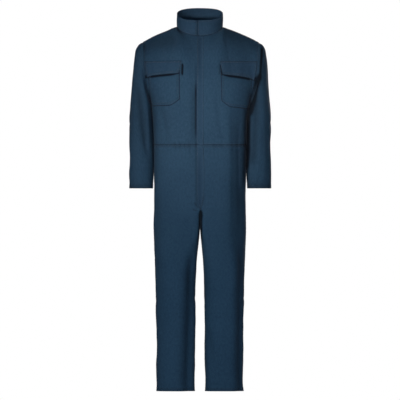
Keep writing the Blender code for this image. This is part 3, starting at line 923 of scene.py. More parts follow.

# Painted shade in the cloth's colour: where cloth that stands off the fronts keeps the light from
# them, and in gaps, gathers and troughs.
BODY_SHADES = (
    # Past the flaps' inner ends, and below the parts that reach beyond the pockets.
    at_front(-0.0765, -0.158, -0.078, -0.218, 0.003, 3.4, taper=0.25),
    at_front(0.084, -0.156, 0.087, -0.212, 0.0026, 0.7, taper=0.15),
    at_front(-0.248, -0.2215, -0.214, -0.2185, 0.005, 2.4, taper=0.1),
    at_front(0.214, -0.2275, 0.26, -0.234, 0.005, 2.4, taper=0.1),
    # Beside the fly's free edge.
    at_front(-0.018, -0.14, -0.018, -0.33, 0.0034, 0.4, taper=0.3),
    at_front(-0.0185, -0.21, -0.0185, -0.53, 0.0042, 1.2, taper=0.3),
    at_front(-0.03, -0.23, -0.028, -0.53, 0.012, 0.24, taper=0.25),
    at_front(-0.0175, -0.49, -0.015, -0.8, 0.004, 0.5, taper=0.1),
    # The gathers at the waist seam.
    at_front(-0.136, -0.5225, -0.034, -0.5225, 0.008, 0.12, taper=0.2),
    at_front(0.052, -0.526, 0.112, -0.521, 0.006, 0.18, taper=0.3),
    at_front(-0.112, -0.5, -0.107, -0.552, 0.0034, 0.22),
    at_front(-0.09, -0.494, -0.087, -0.56, 0.0036, 0.24),
    at_front(-0.066, -0.504, -0.065, -0.55, 0.0032, 0.2),
    at_front(-0.045, -0.498, -0.047, -0.556, 0.0034, 0.22),
    at_front(0.058, -0.508, 0.061, -0.544, 0.0032, 0.16),
    at_front(0.14, -0.503, 0.143, -0.552, 0.0036, 0.18),
    # At the foot of the fly.
    at_front(-0.028, -0.768, -0.006, -0.8, 0.004, 0.5),
    at_front(-0.036, -0.8, -0.008, -0.806, 0.0036, 0.55, bow=-0.003),
    at_front(0.018, -0.735, 0.006, -0.8, 0.0038, 0.45),
    # Between the legs, below the crotch.
    at_front(0.004, -0.798, 0.0, -0.95, 0.0036, 9.0, taper=0.22),
    # Painted shade on the slopes of the shoulders.
    at_front(-0.3, -0.074, -0.05, -0.05, 0.048, 0.4, taper=0.3),
    at_front(0.3, -0.07, 0.086, -0.014, 0.034, 0.36, taper=0.2),
    # Down the deepest troughs.
    at_front(0.176, -0.38, 0.176, -0.96, 0.018, 0.24, taper=0.2),
    at_front(-0.046, -0.98, -0.079, -1.66, 0.025, 0.42, taper=0.2),
    at_front(0.188, -0.94, 0.188, -1.66, 0.018, 0.55, taper=0.15),
    # Beside the sleeves.
    at_front(0.27, -0.08, 0.261, -0.24, 0.005, 1.6, bow=-0.001, taper=0.1),
    at_front(0.256, -0.205, 0.213, -0.4, 0.009, 1.8, taper=0.15),
    at_front(0.204, -0.37, 0.199, -0.66, 0.0045, 0.7, taper=0.15),
)

# Painted shade on the sleeves: beside the bodice, down their troughs and at the cuffs.
SLEEVE_SHADES = (
    at_front(0.274, -0.082, 0.264, -0.24, 0.006, 1.6, bow=-0.001, taper=0.1),
    at_front(0.265, -0.2, 0.213, -0.4, 0.011, 1.9, taper=0.15),
    at_front(0.211, -0.37, 0.205, -0.64, 0.008, 1.9, taper=0.15),
    at_front(0.25, -0.26, 0.23, -0.64, 0.021, 0.52, taper=0.2),
    at_front(-0.282, -0.215, -0.23, -0.59, 0.0165, 0.5, taper=0.3),
    # At the cuffs.
    at_front(-0.33, -0.716, -0.19, -0.716, 0.03, 0.26, taper=0.05),
    at_front(0.19, -0.716, 0.33, -0.716, 0.038, 0.36, taper=0.05),
)

SLEEVE_FOLDS = (
    # The wearer's right sleeve.
    at_front(-0.283, -0.205, -0.217, -0.63, 0.0125, -0.007, bow=-0.003, taper=0.3),
    at_front(-0.296, -0.3, -0.262, -0.7, 0.016, 0.0024),
    at_front(-0.232, -0.3, -0.222, -0.56, 0.008, 0.003),
    at_front(-0.285, -0.15, -0.258, -0.19, 0.009, -0.003),
    at_front(-0.262, -0.23, -0.238, -0.33, 0.01, -0.0022),
    at_back(-0.27, -0.22, -0.236, -0.64, 0.015, -0.0056),
    at_back(-0.302, -0.4, -0.216, -0.446, 0.01, -0.0038, bow=0.004),
    at_back(-0.3, -0.452, -0.226, -0.486, 0.009, -0.0026),
    at_back(-0.286, -0.128, -0.256, -0.188, 0.012, -0.0026),
    at_right(-0.02, -0.16, 0.004, -0.42, 0.016, -0.003),
    at_right(0.05, -0.395, -0.012, -0.47, 0.011, -0.003),
    at_right(0.044, -0.45, -0.006, -0.64, 0.014, -0.0026),
    # The wearer's left sleeve.
    at_front(0.226, -0.38, 0.221, -0.6, 0.012, -0.005, bow=-0.002),
    at_front(0.258, -0.215, 0.226, -0.62, 0.013, -0.0052, bow=0.003),
    at_front(0.262, -0.4, 0.236, -0.716, 0.01, 0.0038, bow=0.012),
    at_front(0.3, -0.33, 0.297, -0.716, 0.012, -0.0028, taper=0.2),
    at_front(0.284, -0.15, 0.262, -0.262, 0.012, -0.0022),
    at_front(0.24, -0.64, 0.222, -0.685, 0.006, -0.0012),
    at_front(0.264, -0.65, 0.248, -0.7, 0.006, -0.0012),
    at_back(0.268, -0.215, 0.238, -0.64, 0.015, -0.0056),
    at_back(0.3, -0.388, 0.218, -0.44, 0.01, -0.004, bow=-0.004),
    at_back(0.298, -0.444, 0.23, -0.47, 0.009, -0.0024),
    at_back(0.29, -0.12, 0.262, -0.18, 0.012, -0.0026),
    at_left(-0.016, -0.15, 0.008, -0.41, 0.016, -0.003),
    at_left(0.052, -0.388, -0.01, -0.452, 0.011, -0.003),
    at_left(0.04, -0.44, -0.008, -0.65, 0.014, -0.0026),
)

COLLAR_FOLDS = (
    at_front(0.04, 0.03, 0.052, -0.03, 0.014, 0.0008),
    at_front(-0.062, 0.034, -0.05, -0.03, 0.014, 0.0007),
    at_back(-0.03, 0.07, -0.04, 0.01, 0.014, 0.0008),
    at_back(0.046, 0.072, 0.038, 0.01, 0.012, 0.0007),
)

DENTS = Dents()

# How much painted shade pressed cloth gets: beside the left and the right sleeve, and between the
# legs.
SLEEVE_PRESS_SHADES = (0.7, 0.1)
LEG_PRESS_SHADE = 1.3
LEG_PRESS_RISE = 0.05  # above the top of the rise seams, the cloth is beside a sleeve
PANEL_STEPS = 121  # places up a front panel at which a pocket looks for its height
FINE_STEPS = 361  # places at which a form is measured before its grid is spaced out


def pressed(points: Array, out: Array) -> Array:
    """How flat the cloth is pressed, from 0 to 1, against a sleeve or between the legs.

    Args:
        points: Points on the cloth.
        out: The directions out of the cloth there.

    Returns:
        A share for each point.
    """
    across, height = np.abs(points[..., 0]), points[..., 2]
    turned = ease((np.abs(out[..., 0]) - 0.70) / 0.22)
    arms = ease((height + 0.72) / 0.06) * ease((-0.30 - height) / 0.04)
    arms = arms * ease((0.232 - across) / 0.012) * ease((across - 0.15) / 0.02)
    legs = ease((height + 0.97) / 0.05) * ease((0.020 - across) / 0.010)
    return (arms + legs) * turned


def relief(folds: Iterable[Fold], points: Array, out: Array) -> Array:
    """How far a set of folds and the cloth's dents move each point outwards."""
    rise = sum(fold.rise(points, out) for fold in folds) + DENTS.rise(points, out)
    return rise * (1 - pressed(points, out))


# --- Cut pieces -----------------------------------------------------------------------------


def spaced(total: float, cell: float, low: Iterable[float], high: Iterable[float]) -> Array:
    """Distances from 0 to total, about a cell apart, with the lines that its two edges need.

    Args:
        total: The last distance.
        cell: The spacing.
        low: Distances needed from the start.
        high: Distances needed from the end.

    Returns:
        The distances, in order.
    """
    near = sorted({0.0, *(d for d in low if 0 < d < total / 2)})
    far = sorted({0.0, *(d for d in high if 0 < d < total / 2)})
    count = max(2, round((total - near[-1] - far[-1]) / cell))
    middle = np.linspace(near[-1], total - far[-1], count + 1)[1:-1]
    return np.concatenate([near, middle, total - np.array(far[::-1])])


def thinned(distances: Iterable[float], least: float = 0.0006) -> list[float]:
    """Sorted distances, without those that come too near the one before.

    Args:
        distances: The distances.
        least: The least gap.

    Returns:
        The distances kept.
    """
    kept: list[float] = []
    for distance in sorted(distances):
        if distance >= 0 and (not kept or distance - kept[-1] >= least):
            kept.append(distance)
    return kept


@dataclass
class Cloth:
    """A cut piece of cloth: a grid of points on its form, with its distances from its edges and
    the painted shade on it.
    """

    name: str
    points: Array
    out: Array
    reach: dict[Edge, Array]
    outward: int
    crevice: Array

    @classmethod
    def cut(
        cls,
        name: str,
        surface: Surface,
        outward: int,
        cell: float,
        seams: Sequence[Seam] = (),
        folds: Sequence[Fold] = (),
        shades: Sequence[Fold] = (),
        lift: Lifting | None = None,
    ) -> "Cloth":
        """Lays a piece on its surface.

        Args:
            name: The piece's name.
            surface: Gives points for u and v, which both run from 0 to 1.
            outward: 1 if u crossed with v points out of the cloth, or else -1.
            cell: The grid's spacing.
            seams: How its edges are sewn.
            folds: The folds that may cross it.
            shades: Painted shade, where cloth beside it keeps the light off, as folds of darkness
                in its colour.
            lift: Gives a further distance outwards for u, v and the points.

        Returns:
            The piece as laid.
        """
        lines = {edge: thinned(d for s in seams if s.edge is edge for d in s.lines())
                 for edge in Edge}
        fine = np.linspace(0, 1, FINE_STEPS)
        middle = surface(np.full(fine.shape, 0.5), fine)
        climb = distances(middle)
        heights = spaced(climb[-1], cell, lines[Edge.LOW], lines[Edge.HIGH])
        rows = np.interp(heights, climb, fine)
        u, v = np.meshgrid(fine, rows)
        run = lengths(surface(u, v), 1)
        typical = float(np.median(run[:, -1]))
        pattern = spaced(typical, cell, lines[Edge.START], lines[Edge.END])
        near = sum(pattern <= (lines[Edge.START] or [0.0])[-1])
        far = sum(pattern >= typical - (lines[Edge.END] or [0.0])[-1])
        shares = []
        for one_run in run:
            total = one_run[-1]
            count = len(pattern) - near - far
            inner = np.linspace(pattern[near - 1], total - typical + pattern[-far], count + 2)
            places = np.r_[pattern[:near], inner[1:-1], total - typical + pattern[-far:]]
            shares.append(np.interp(places, one_run, fine))
        u = np.array(shares)
        v = np.repeat(rows[:, None], u.shape[1], axis=1)
        base = surface(u, v)
        out = surface_normals(surface, u, v) * outward
        rise = relief(folds, base, out) if folds else np.zeros(u.shape)
        piece = cls.sewn(name, base, out, outward, seams, lift, (u, v), rise)
        # Painted shade where the cloth is pressed to a sleeve or the other leg, and along the
        # shades given.
        if shades:
            by_sleeve = np.where(base[..., 0] > 0, *SLEEVE_PRESS_SHADES)
            upper = base[..., 2] > FORM.rise_top + LEG_PRESS_RISE
            depth = np.where(upper, by_sleeve, LEG_PRESS_SHADE)
            piece.crevice = piece.crevice + depth * pressed(base, out)
            piece.crevice = piece.crevice + sum(shade.rise(base, out) for shade in shades)
        return piece

    @classmethod
    def sewn(
        cls,
        name: str,
        base: Array,
        out: Array,
        outward: int,
        seams: Sequence[Seam],
        lift: Lifting | None,
        shares: tuple[Array, Array] | None = None,
        rise: Array | float = 0.0,
    ) -> "Cloth":
        """Sews the edges of a grid of points and moves it out to its place.

        Args:
            name: The piece's name.
            base: The grid of points.
            out: The directions out of the cloth there.
            outward: 1 if rows crossed with columns point outwards, or else -1.
            seams: How its edges are sewn.
            lift: Gives a further distance outwards for both shares and the points.
            shares: How far across and up the piece each point lies, from 0 to 1. Without
                them its rows and columns are evenly spread.
            rise: How far its folds move it outwards.

        Returns:
            The piece as sewn.
        """
        rows, columns = out.shape[:2]
        even = np.meshgrid(np.linspace(0, 1, columns), np.linspace(0, 1, rows))
        u, v = shares or even
        from_start, from_low = lengths(base, 1), lengths(base, 0)
        reach = {
            Edge.START: from_start,
            Edge.END: from_start[:, -1:] - from_start,
            Edge.LOW: from_low,
            Edge.HIGH: from_low[-1:] - from_low,
        }
        # Painted shade from each seam, in its crease and along its stitch rows.
        crevice = np.zeros(u.shape)
        for seam in seams:
            upright = seam.edge in (Edge.START, Edge.END)
            along, share = (from_low, v) if upright else (from_start, u)
            rise = rise + seam.rise(reach[seam.edge], along, share)
            crevice = crevice + seam.crevice(reach[seam.edge], share)
        if lift is not None:
            rise = rise + lift(u, v, base)
        points = base + out * rise[..., None]
        return cls(name, points, grid_normals(points) * outward, reach, outward, crevice)

    def area(self) -> float:
        """The area of its face.

        Returns:
            The area in square metres.
        """
        across = np.diff(self.points, axis=1)[:-1]
        up = np.diff(self.points, axis=0)[:, :-1]
        return float(np.linalg.norm(np.cross(across, up), axis=-1).sum())

    def line(
        self, edge: Edge, inset: float, first: float = 0.0, last: float = 1.0
    ) -> tuple[Array, Array]:
        """A line on the piece at a distance in from one of its edges.

        Args:
            edge: The edge.
            inset: The distance from it.
            first: The share of the edge at which the line starts.
            last: The share at which it ends.

        Returns:
            Its points, and the directions out of the cloth there.
        """
        distance, points, out = self.reach[edge], self.points, self.out
        if edge in (Edge.LOW, Edge.HIGH):
            distance, points, out = distance.T, points.swapaxes(0, 1), out.swapaxes(0, 1)
        if edge in (Edge.END, Edge.HIGH):
            distance, points, out = distance[:, ::-1], points[:, ::-1], out[:, ::-1]
        count = len(distance)
        kept = range(round(first * (count - 1)), round(last * (count - 1)) + 1)
        found = [
            [np.interp(inset, distance[i], grid[i, :, axis]) for grid in (points, out)
             for axis in range(3)]
            for i in kept
        ]
        line = np.array(found)
        return line[:, :3], unit(line[:, 3:])

    def make(self, wall: float, edge_round: float = 0.0) -> bpy.types.Object:
        """Makes the piece as an object, with its wall going inwards.

        Args:
            wall: The cloth's thickness.
            edge_round: The radius of its edges, or 0 to leave them square.

        Returns:
            The object, at the origin, with a UV map in metres, an attribute of edge wear and
            painted highlight, and one of painted shade.
        """
        rows, columns = self.points.shape[:2]
        bm = bmesh.new()
        bmesh.ops.create_grid(bm, x_segments=columns - 1, y_segments=rows - 1, size=0.5)
        mesh = bpy.data.meshes.new(self.name)
        bm.to_mesh(mesh)
        bm.free()
        flat = np.empty(len(mesh.vertices) * 3, np.float32)
        mesh.vertices.foreach_get("co", flat)
        flat = flat.reshape(-1, 3)
        i = np.rint((flat[:, 1] + 0.5) * (rows - 1)).astype(int)
        j = np.rint((flat[:, 0] + 0.5) * (columns - 1)).astype(int)
        mesh.vertices.foreach_set("co", self.points[i, j].astype(np.float32).ravel())
        corners = np.empty(len(mesh.loops), np.int32)
        mesh.loops.foreach_get("vertex_index", corners)
        cloth_map = np.stack([self.reach[Edge.START], self.reach[Edge.LOW]], axis=-1)[i, j]
        layer = mesh.uv_layers.new(name="cloth")
        layer.data.foreach_set("uv", cloth_map[corners].astype(np.float32).ravel())
        # Paler bands a few millimetres in from the edges: edge wear, and painted highlight on the
        # ridges beside seams; none where there is painted shade.
        nearest = np.minimum.reduce([self.reach[edge] for edge in Edge])
        rubbed_and_highlit = hump(nearest - 0.0045, 0.0024) * (1 - np.clip(self.crevice, 0, 1))
        for name, value in (("wear", rubbed_and_highlit), ("crevice", self.crevice)):
            attribute = mesh.attributes.new(name, "FLOAT", "POINT")
            attribute.data.foreach_set("value", value[i, j].astype(np.float32))
        if self.outward < 0:
            mesh.flip_normals()
        mesh.shade_smooth()
        piece = bpy.data.objects.new(self.name, mesh)
        bpy.context.scene.collection.objects.link(piece)
        solid = piece.modifiers.new("wall", "SOLIDIFY")
        solid.thickness, solid.offset, solid.use_rim = wall, -1, True
        if edge_round:
            bevel = piece.modifiers.new("edges", "BEVEL")
            bevel.width, bevel.segments, bevel.profile = edge_round, 2, 0.5
            bevel.limit_method, bevel.angle_limit = "ANGLE", radians(55)
        return piece


@dataclass
class Thread:
    """Topstitching: rows of short stitches that lie on the cloth."""

    name: str
    pitch: float = 0.0034
    stitch: float = 0.0027
    width: float = 0.00062
    height: float = 0.00042
    stand: float = 0.30  # share of its height that a stitch stands off the cloth
    look: float = 0.001  # how far either way a stitch looks to find its direction
    rows: list[tuple[Array, Array]] = field(default_factory=list)

    def sew(self, line: tuple[Array, Array]) -> None:
        """Adds a row of stitches along a line of points with their outward directions."""
        self.rows.append(line)

    def make(self) -> bpy.types.Object:
        """Makes all the rows as one object.

        Returns:
            The object.
        """
        made = bmesh.new()
        count = 0
        for points, out in self.rows:
            run = distances(points)
            places = np.arange(self.pitch / 2, run[-1], self.pitch)
            at = along_line(places, run, points)
            up = unit(along_line(places, run, out))
            ahead = along_line(places + self.look, run, points)
            behind = along_line(places - self.look, run, points)
            row = bmesh.new()
            for place, normal, way in zip(at, up, unit(ahead - behind)):
                side = np.cross(normal, way)
                turn = Matrix((way, side, normal)).transposed().to_4x4()
                size = Matrix.Diagonal((self.stitch / 2, self.width / 2, self.height / 2, 1))
                move = Matrix.Translation(Vector(place + normal * self.height * self.stand))
                bmesh.ops.create_icosphere(
                    row, subdivisions=1, radius=1.0, matrix=move @ turn @ size
                )
            joined = bpy.data.meshes.new("row")
            row.to_mesh(joined)
            row.free()
            made.from_mesh(joined)
            bpy.data.meshes.remove(joined)
            count += len(places)
        mesh = bpy.data.meshes.new(self.name)
        made.to_mesh(mesh)
        made.free()
        mesh.shade_smooth()
        piece = bpy.data.objects.new(self.name, mesh)
        bpy.context.scene.collection.objects.link(piece)
        log.info("%s: %d stitches in %d rows", self.name, count, len(self.rows))
        return piece


# --- Finishes -------------------------------------------------------------------------------


class NodeGraph:
    """A material's nodes, with a few short ways to add to them."""

    def __init__(self, name: str) -> None:
        """Starts a material that has only its shader."""
        self.material = bpy.data.materials.new(name)
        self.material.use_nodes = True
        self.tree = self.material.node_tree
        self.shader = self.tree.nodes["Principled BSDF"]

    def add(self, kind: str, **values: object) -> bpy.types.Node:
        """Adds a node and sets its properties.

        Args:
            kind: The node's type.
            values: Its properties.

        Returns:
            The node.
        """
        node = self.tree.nodes.new(kind)
        for name, value in values.items():
            setattr(node, name, value)
        return node

    def link(self, out: Socket, into: Socket) -> None:
        """Joins two sockets."""
        self.tree.links.new(out, into)

    def scaled(self, vector: Socket, scale: Sequence[float],
               turn: float = 0.0) -> Socket:
        """A vector after a Mapping node.

        Args:
            vector: The vector socket.
            scale: Its scale on each axis.
            turn: Its turn about Z.

        Returns:
            The turned and scaled vector.
        """
        node = self.add("ShaderNodeMapping")
        node.inputs["Scale"].default_value = scale
        node.inputs["Rotation"].default_value = (0, 0, turn)
        self.link(vector, node.inputs["Vector"])
        return node.outputs["Vector"]

    def noise(self, vector: Socket, scale: float, detail: float = 2.0,
              rough: float = 0.5) -> Socket:
        """A noise value on a vector.

        Args:
            vector: The vector socket.
            scale: Its scale.
            detail: Its detail.
            rough: Its roughness.

        Returns:
            The value.
        """
        node = self.add("ShaderNodeTexNoise")
        node.inputs["Scale"].default_value = scale
        node.inputs["Detail"].default_value = detail
        node.inputs["Roughness"].default_value = rough
        self.link(vector, node.inputs["Vector"])
        return node.outputs["Fac"]

    def wave(self, vector: Socket, scale: float, direction: str,
             wobble: float = 0.0) -> Socket:
        """Parallel bands on a vector.

        Args:
            vector: The vector socket.
            scale: Its scale.
            direction: The way that the bands run.
            wobble: How much they waver.

        Returns:
            The value.
        """
        node = self.add("ShaderNodeTexWave", bands_direction=direction)
        node.inputs["Scale"].default_value = scale
        node.inputs["Distortion"].default_value = wobble
        self.link(vector, node.inputs["Vector"])
        return node.outputs["Fac"]

    def math(self, operation: str, *values: "Socket | float") -> Socket:
        """A Math node on sockets or numbers.

        Args:
            operation: What to do.
            values: The sockets or numbers.

        Returns:
            The result.
        """
        node = self.add("ShaderNodeMath", operation=operation)
        for socket, value in zip(node.inputs, values):
            if isinstance(value, Socket):
                self.link(value, socket)
            else:
                socket.default_value = value
        return node.outputs["Value"]

    def spread(self, value: Socket, low: float, high: float,
               to_low: float, to_high: float) -> Socket:
        """A value moved from one range to another.

        Args:
            value: The value.
            low: The start of its range.
            high: The end of its range.
            to_low: The new start.
            to_high: The new end.

        Returns:
            The moved value.
        """
        node = self.add("ShaderNodeMapRange")
        for name, number in (("From Min", low), ("From Max", high), ("To Min", to_low),
                             ("To Max", to_high)):
            node.inputs[name].default_value = number
        self.link(value, node.inputs["Value"])
        return node.outputs["Result"]

    def mix(self, share: "Socket | float", first: "Socket | tuple",
            second: "Socket | tuple", blend: str = "MIX") -> Socket:
        """Two colours mixed.

        Args:
            share: How much of the second.
            first: The first colour.
            second: The second colour.
            blend: How they mix.

        Returns:
            The mixed colour.
        """
        node = self.add("ShaderNodeMix", data_type="RGBA", blend_type=blend)
        for index, value in ((0, share), (6, first), (7, second)):
            if isinstance(value, Socket):
                self.link(value, node.inputs[index])
            else:
                node.inputs[index].default_value = value
        return node.outputs[2]

    def bump(self, height: Socket, strength: float, distance: float) -> None:
        """Bumps the shader's surface by a height.

        Args:
            height: The height socket.
            strength: How strong it is.
            distance: How deep it is.
        """
        node = self.add("ShaderNodeBump")
        node.inputs["Strength"].default_value = strength
        node.inputs["Distance"].default_value = distance
        self.link(height, node.inputs["Height"])
        self.link(node.outputs["Normal"], self.shader.inputs["Normal"])


@dataclass(frozen=True)
class TwillFinish:
    """Matt cotton twill: diagonal lines, slubs, a soft nap, paler edges of wear and painted
    highlight, and painted shade.
    """

    name: str
    colour: Colour = (0.0290, 0.0775, 0.1350, 1.0)
    shade: Colour = (0.0165, 0.0490, 0.0900, 1.0)
    # Paler colour of edge wear, also used for painted highlight on the ridges beside seams.
    worn: Colour = (0.0400, 0.0920, 0.1500, 1.0)
    # The near-black that painted shade mixes the colour towards.
    deep: Colour = (0.0020, 0.0055, 0.0105, 1.0)
    roughness: float = 0.86
    nap: float = 0.06
    twill_pitch: float = 0.0013
    yarn_pitch: float = 0.00062
    bump: float = 0.42
    patch_depth: float = 0.24
    grain_depth: float = 0.26
    slub_depth: float = 0.18
    fleck_depth: float = 0.42
    twill_depth: float = 0.24
    tone_span: float = 0.80
    # How strongly painted shade darkens the colour, and the most it may.
    crevice_gain: float = 0.75
    crevice_most: float = 0.95

    def material(self) -> bpy.types.Material:
        """Builds the finish as a material.

        Returns:
            The material.
        """
        graph = NodeGraph(self.name)
        cloth = graph.add("ShaderNodeUVMap", uv_map="cloth").outputs["UV"]
        place = graph.add("ShaderNodeTexCoord").outputs["Object"]
        twill = graph.wave(cloth, 0.628 / self.twill_pitch, "DIAGONAL", 0.6)
        yarn = graph.wave(cloth, 0.314 / self.yarn_pitch, "X", 0.8)
        slub = graph.noise(graph.scaled(cloth, (1.0, 0.22, 1.0)), 420, 2.0, 0.6)
        grain = graph.noise(cloth, 230, 3.0, 0.65)
        fleck = graph.noise(graph.scaled(cloth, (1.0, 0.6, 1.0)), 120, 2.0, 0.6)
        patch = graph.noise(place, 5.5, 3.0, 0.55)
        tone = graph.spread(patch, 0.3, 0.7, -self.patch_depth, self.patch_depth)
        for value, low, high, depth in ((grain, 0.3, 0.7, self.grain_depth),
                                        (slub, 0.3, 0.7, self.slub_depth),
                                        (fleck, 0.3, 0.7, self.fleck_depth),
                                        (twill, 0, 1, self.twill_depth)):
            tone = graph.math("ADD", tone, graph.spread(value, low, high, -depth, depth))
        tone = graph.spread(tone, -self.tone_span, self.tone_span, 0.0, 1.0)
        body = graph.mix(tone, self.shade, self.colour)
        # Edge wear and painted highlight: paler towards the worn colour in the bands near the
        # edges.
        wear = graph.add("ShaderNodeAttribute", attribute_name="wear").outputs["Fac"]
        rubbed_and_highlit = graph.math("MULTIPLY", wear, graph.spread(grain, 0.35, 0.65, 0.20, 0.85))
        body = graph.mix(rubbed_and_highlit, body, self.worn)
        # Painted shade: the colour goes towards the deep near-black where the attribute marks
        # creases, seam lines, gaps and cloth under the flaps.
        crevice = graph.add("ShaderNodeAttribute", attribute_name="crevice").outputs["Fac"]
        deep = graph.math("MULTIPLY", crevice, self.crevice_gain)
        deep = graph.math("MINIMUM", deep, self.crevice_most)
        graph.link(graph.mix(deep, body, self.deep), graph.shader.inputs["Base Color"])
        rough = graph.spread(slub, 0.3, 0.7, self.roughness - 0.05, self.roughness + 0.05)
        graph.link(rough, graph.shader.inputs["Roughness"])
        weave = graph.math("ADD", graph.math("MULTIPLY", twill, 0.60),
                           graph.math("MULTIPLY", yarn, 0.22))
        weave = graph.math("ADD", weave, graph.math("MULTIPLY", slub, 0.50))
        graph.bump(weave, self.bump, 0.00035)
        graph.shader.inputs["Sheen Weight"].default_value = self.nap
        graph.shader.inputs["Sheen Roughness"].default_value = 0.35
        graph.shader.inputs["Sheen Tint"].default_value = (0.62, 0.76, 0.90, 1.0)
        graph.shader.inputs["Specular IOR Level"].default_value = 0.16
        return graph.material


@dataclass(frozen=True)
class ThreadFinish:
    """Spun polyester thread, a shade lighter than the cloth."""

    name: str = "navy_thread"
    colour: Colour = (0.034, 0.078, 0.132, 1.0)
    shade: Colour = (0.018, 0.048, 0.084, 1.0)

    def material(self) -> bpy.types.Material:
        """Builds the finish as a material.

        Returns:
            The material.
        """
        graph = NodeGraph(self.name)
        place = graph.add("ShaderNodeTexCoord").outputs["Object"]
        speck = graph.noise(place, 900, 2.0)
        ply = graph.wave(place, 900, "DIAGONAL", 1.0)
        graph.link(graph.mix(graph.spread(speck, 0.3, 0.7, 0, 1), self.shade, self.colour),
                   graph.shader.inputs["Base Color"])
        graph.bump(ply, 0.3, 0.0001)
        graph.shader.inputs["Roughness"].default_value = 0.6
        graph.shader.inputs["Sheen Weight"].default_value = 0.2
        return graph.material


@dataclass(frozen=True)
class PaleFloorFinish:
    """A plain pale floor, with a faint unevenness."""

    name: str = "pale_floor"
    colour: Colour = (0.93, 0.93, 0.93, 1.0)
    shade: Colour = (0.90, 0.90, 0.905, 1.0)
    glow: float = 0.8

    def material(self) -> bpy.types.Material:
        """Builds the finish as a material.

        Returns:
            The material.
        """
        graph = NodeGraph(self.name)
        place = graph.add("ShaderNodeTexCoord").outputs["Object"]
        cloud = graph.noise(place, 1.5, 3.0)
        tone = graph.mix(cloud, self.shade, self.colour)
        graph.link(tone, graph.shader.inputs["Base Color"])
        graph.link(tone, graph.shader.inputs["Emission Color"])
        seen = graph.add("ShaderNodeLightPath").outputs["Is Camera Ray"]
        graph.link(graph.math("MULTIPLY", seen, self.glow),
                   graph.shader.inputs["Emission Strength"])
        graph.shader.inputs["Roughness"].default_value = 0.9
        return graph.material


@dataclass(frozen=True)
class Cut:
    """The size that a piece is cut to: width, length and area when flat."""

    width: float
    length: float
    area: float


class Wardrobe:
    """The finishes, made once and given to the pieces by slot."""

    def __init__(self) -> None:
        """Makes the cloth and thread finishes."""
        self.cloth = {
            Slot.TWILL: TwillFinish("navy_twill_cloth").material(),
            Slot.DOUBLED: TwillFinish(
                "navy_twill_doubled_cloth",
                colour=(0.0275, 0.0700, 0.1250, 1.0),
                shade=(0.0185, 0.0510, 0.0930, 1.0),
            ).material(),
        }
        self.thread = ThreadFinish().material()

    def hang(self, cloth: Cloth, wall: float, slot: Slot, cut: Cut, rests_on: Sequence[str],
             edge_round: float = 0.0, held: str = "hung") -> None:
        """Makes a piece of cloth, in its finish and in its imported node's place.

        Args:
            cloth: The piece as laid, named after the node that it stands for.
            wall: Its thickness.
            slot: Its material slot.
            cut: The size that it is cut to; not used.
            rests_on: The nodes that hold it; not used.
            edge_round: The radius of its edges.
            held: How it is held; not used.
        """
        piece = cloth.make(wall, edge_round)
        piece.data.materials.append(self.cloth[slot])
        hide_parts(cloth.name.removesuffix("_cloth"))
        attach(piece, BODY)
        log.info("%s: %.4f m2", piece.name, cloth.area())

    def dress_thread(self, piece: bpy.types.Object) -> None:
        """Gives a piece of stitching its finish and its place in the frame.

        Args:
            piece: The stitching.
        """
        piece.data.materials.append(self.thread)
        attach(piece, BODY)


# --- The suit's sub-assemblies --------------------------------------------------------------


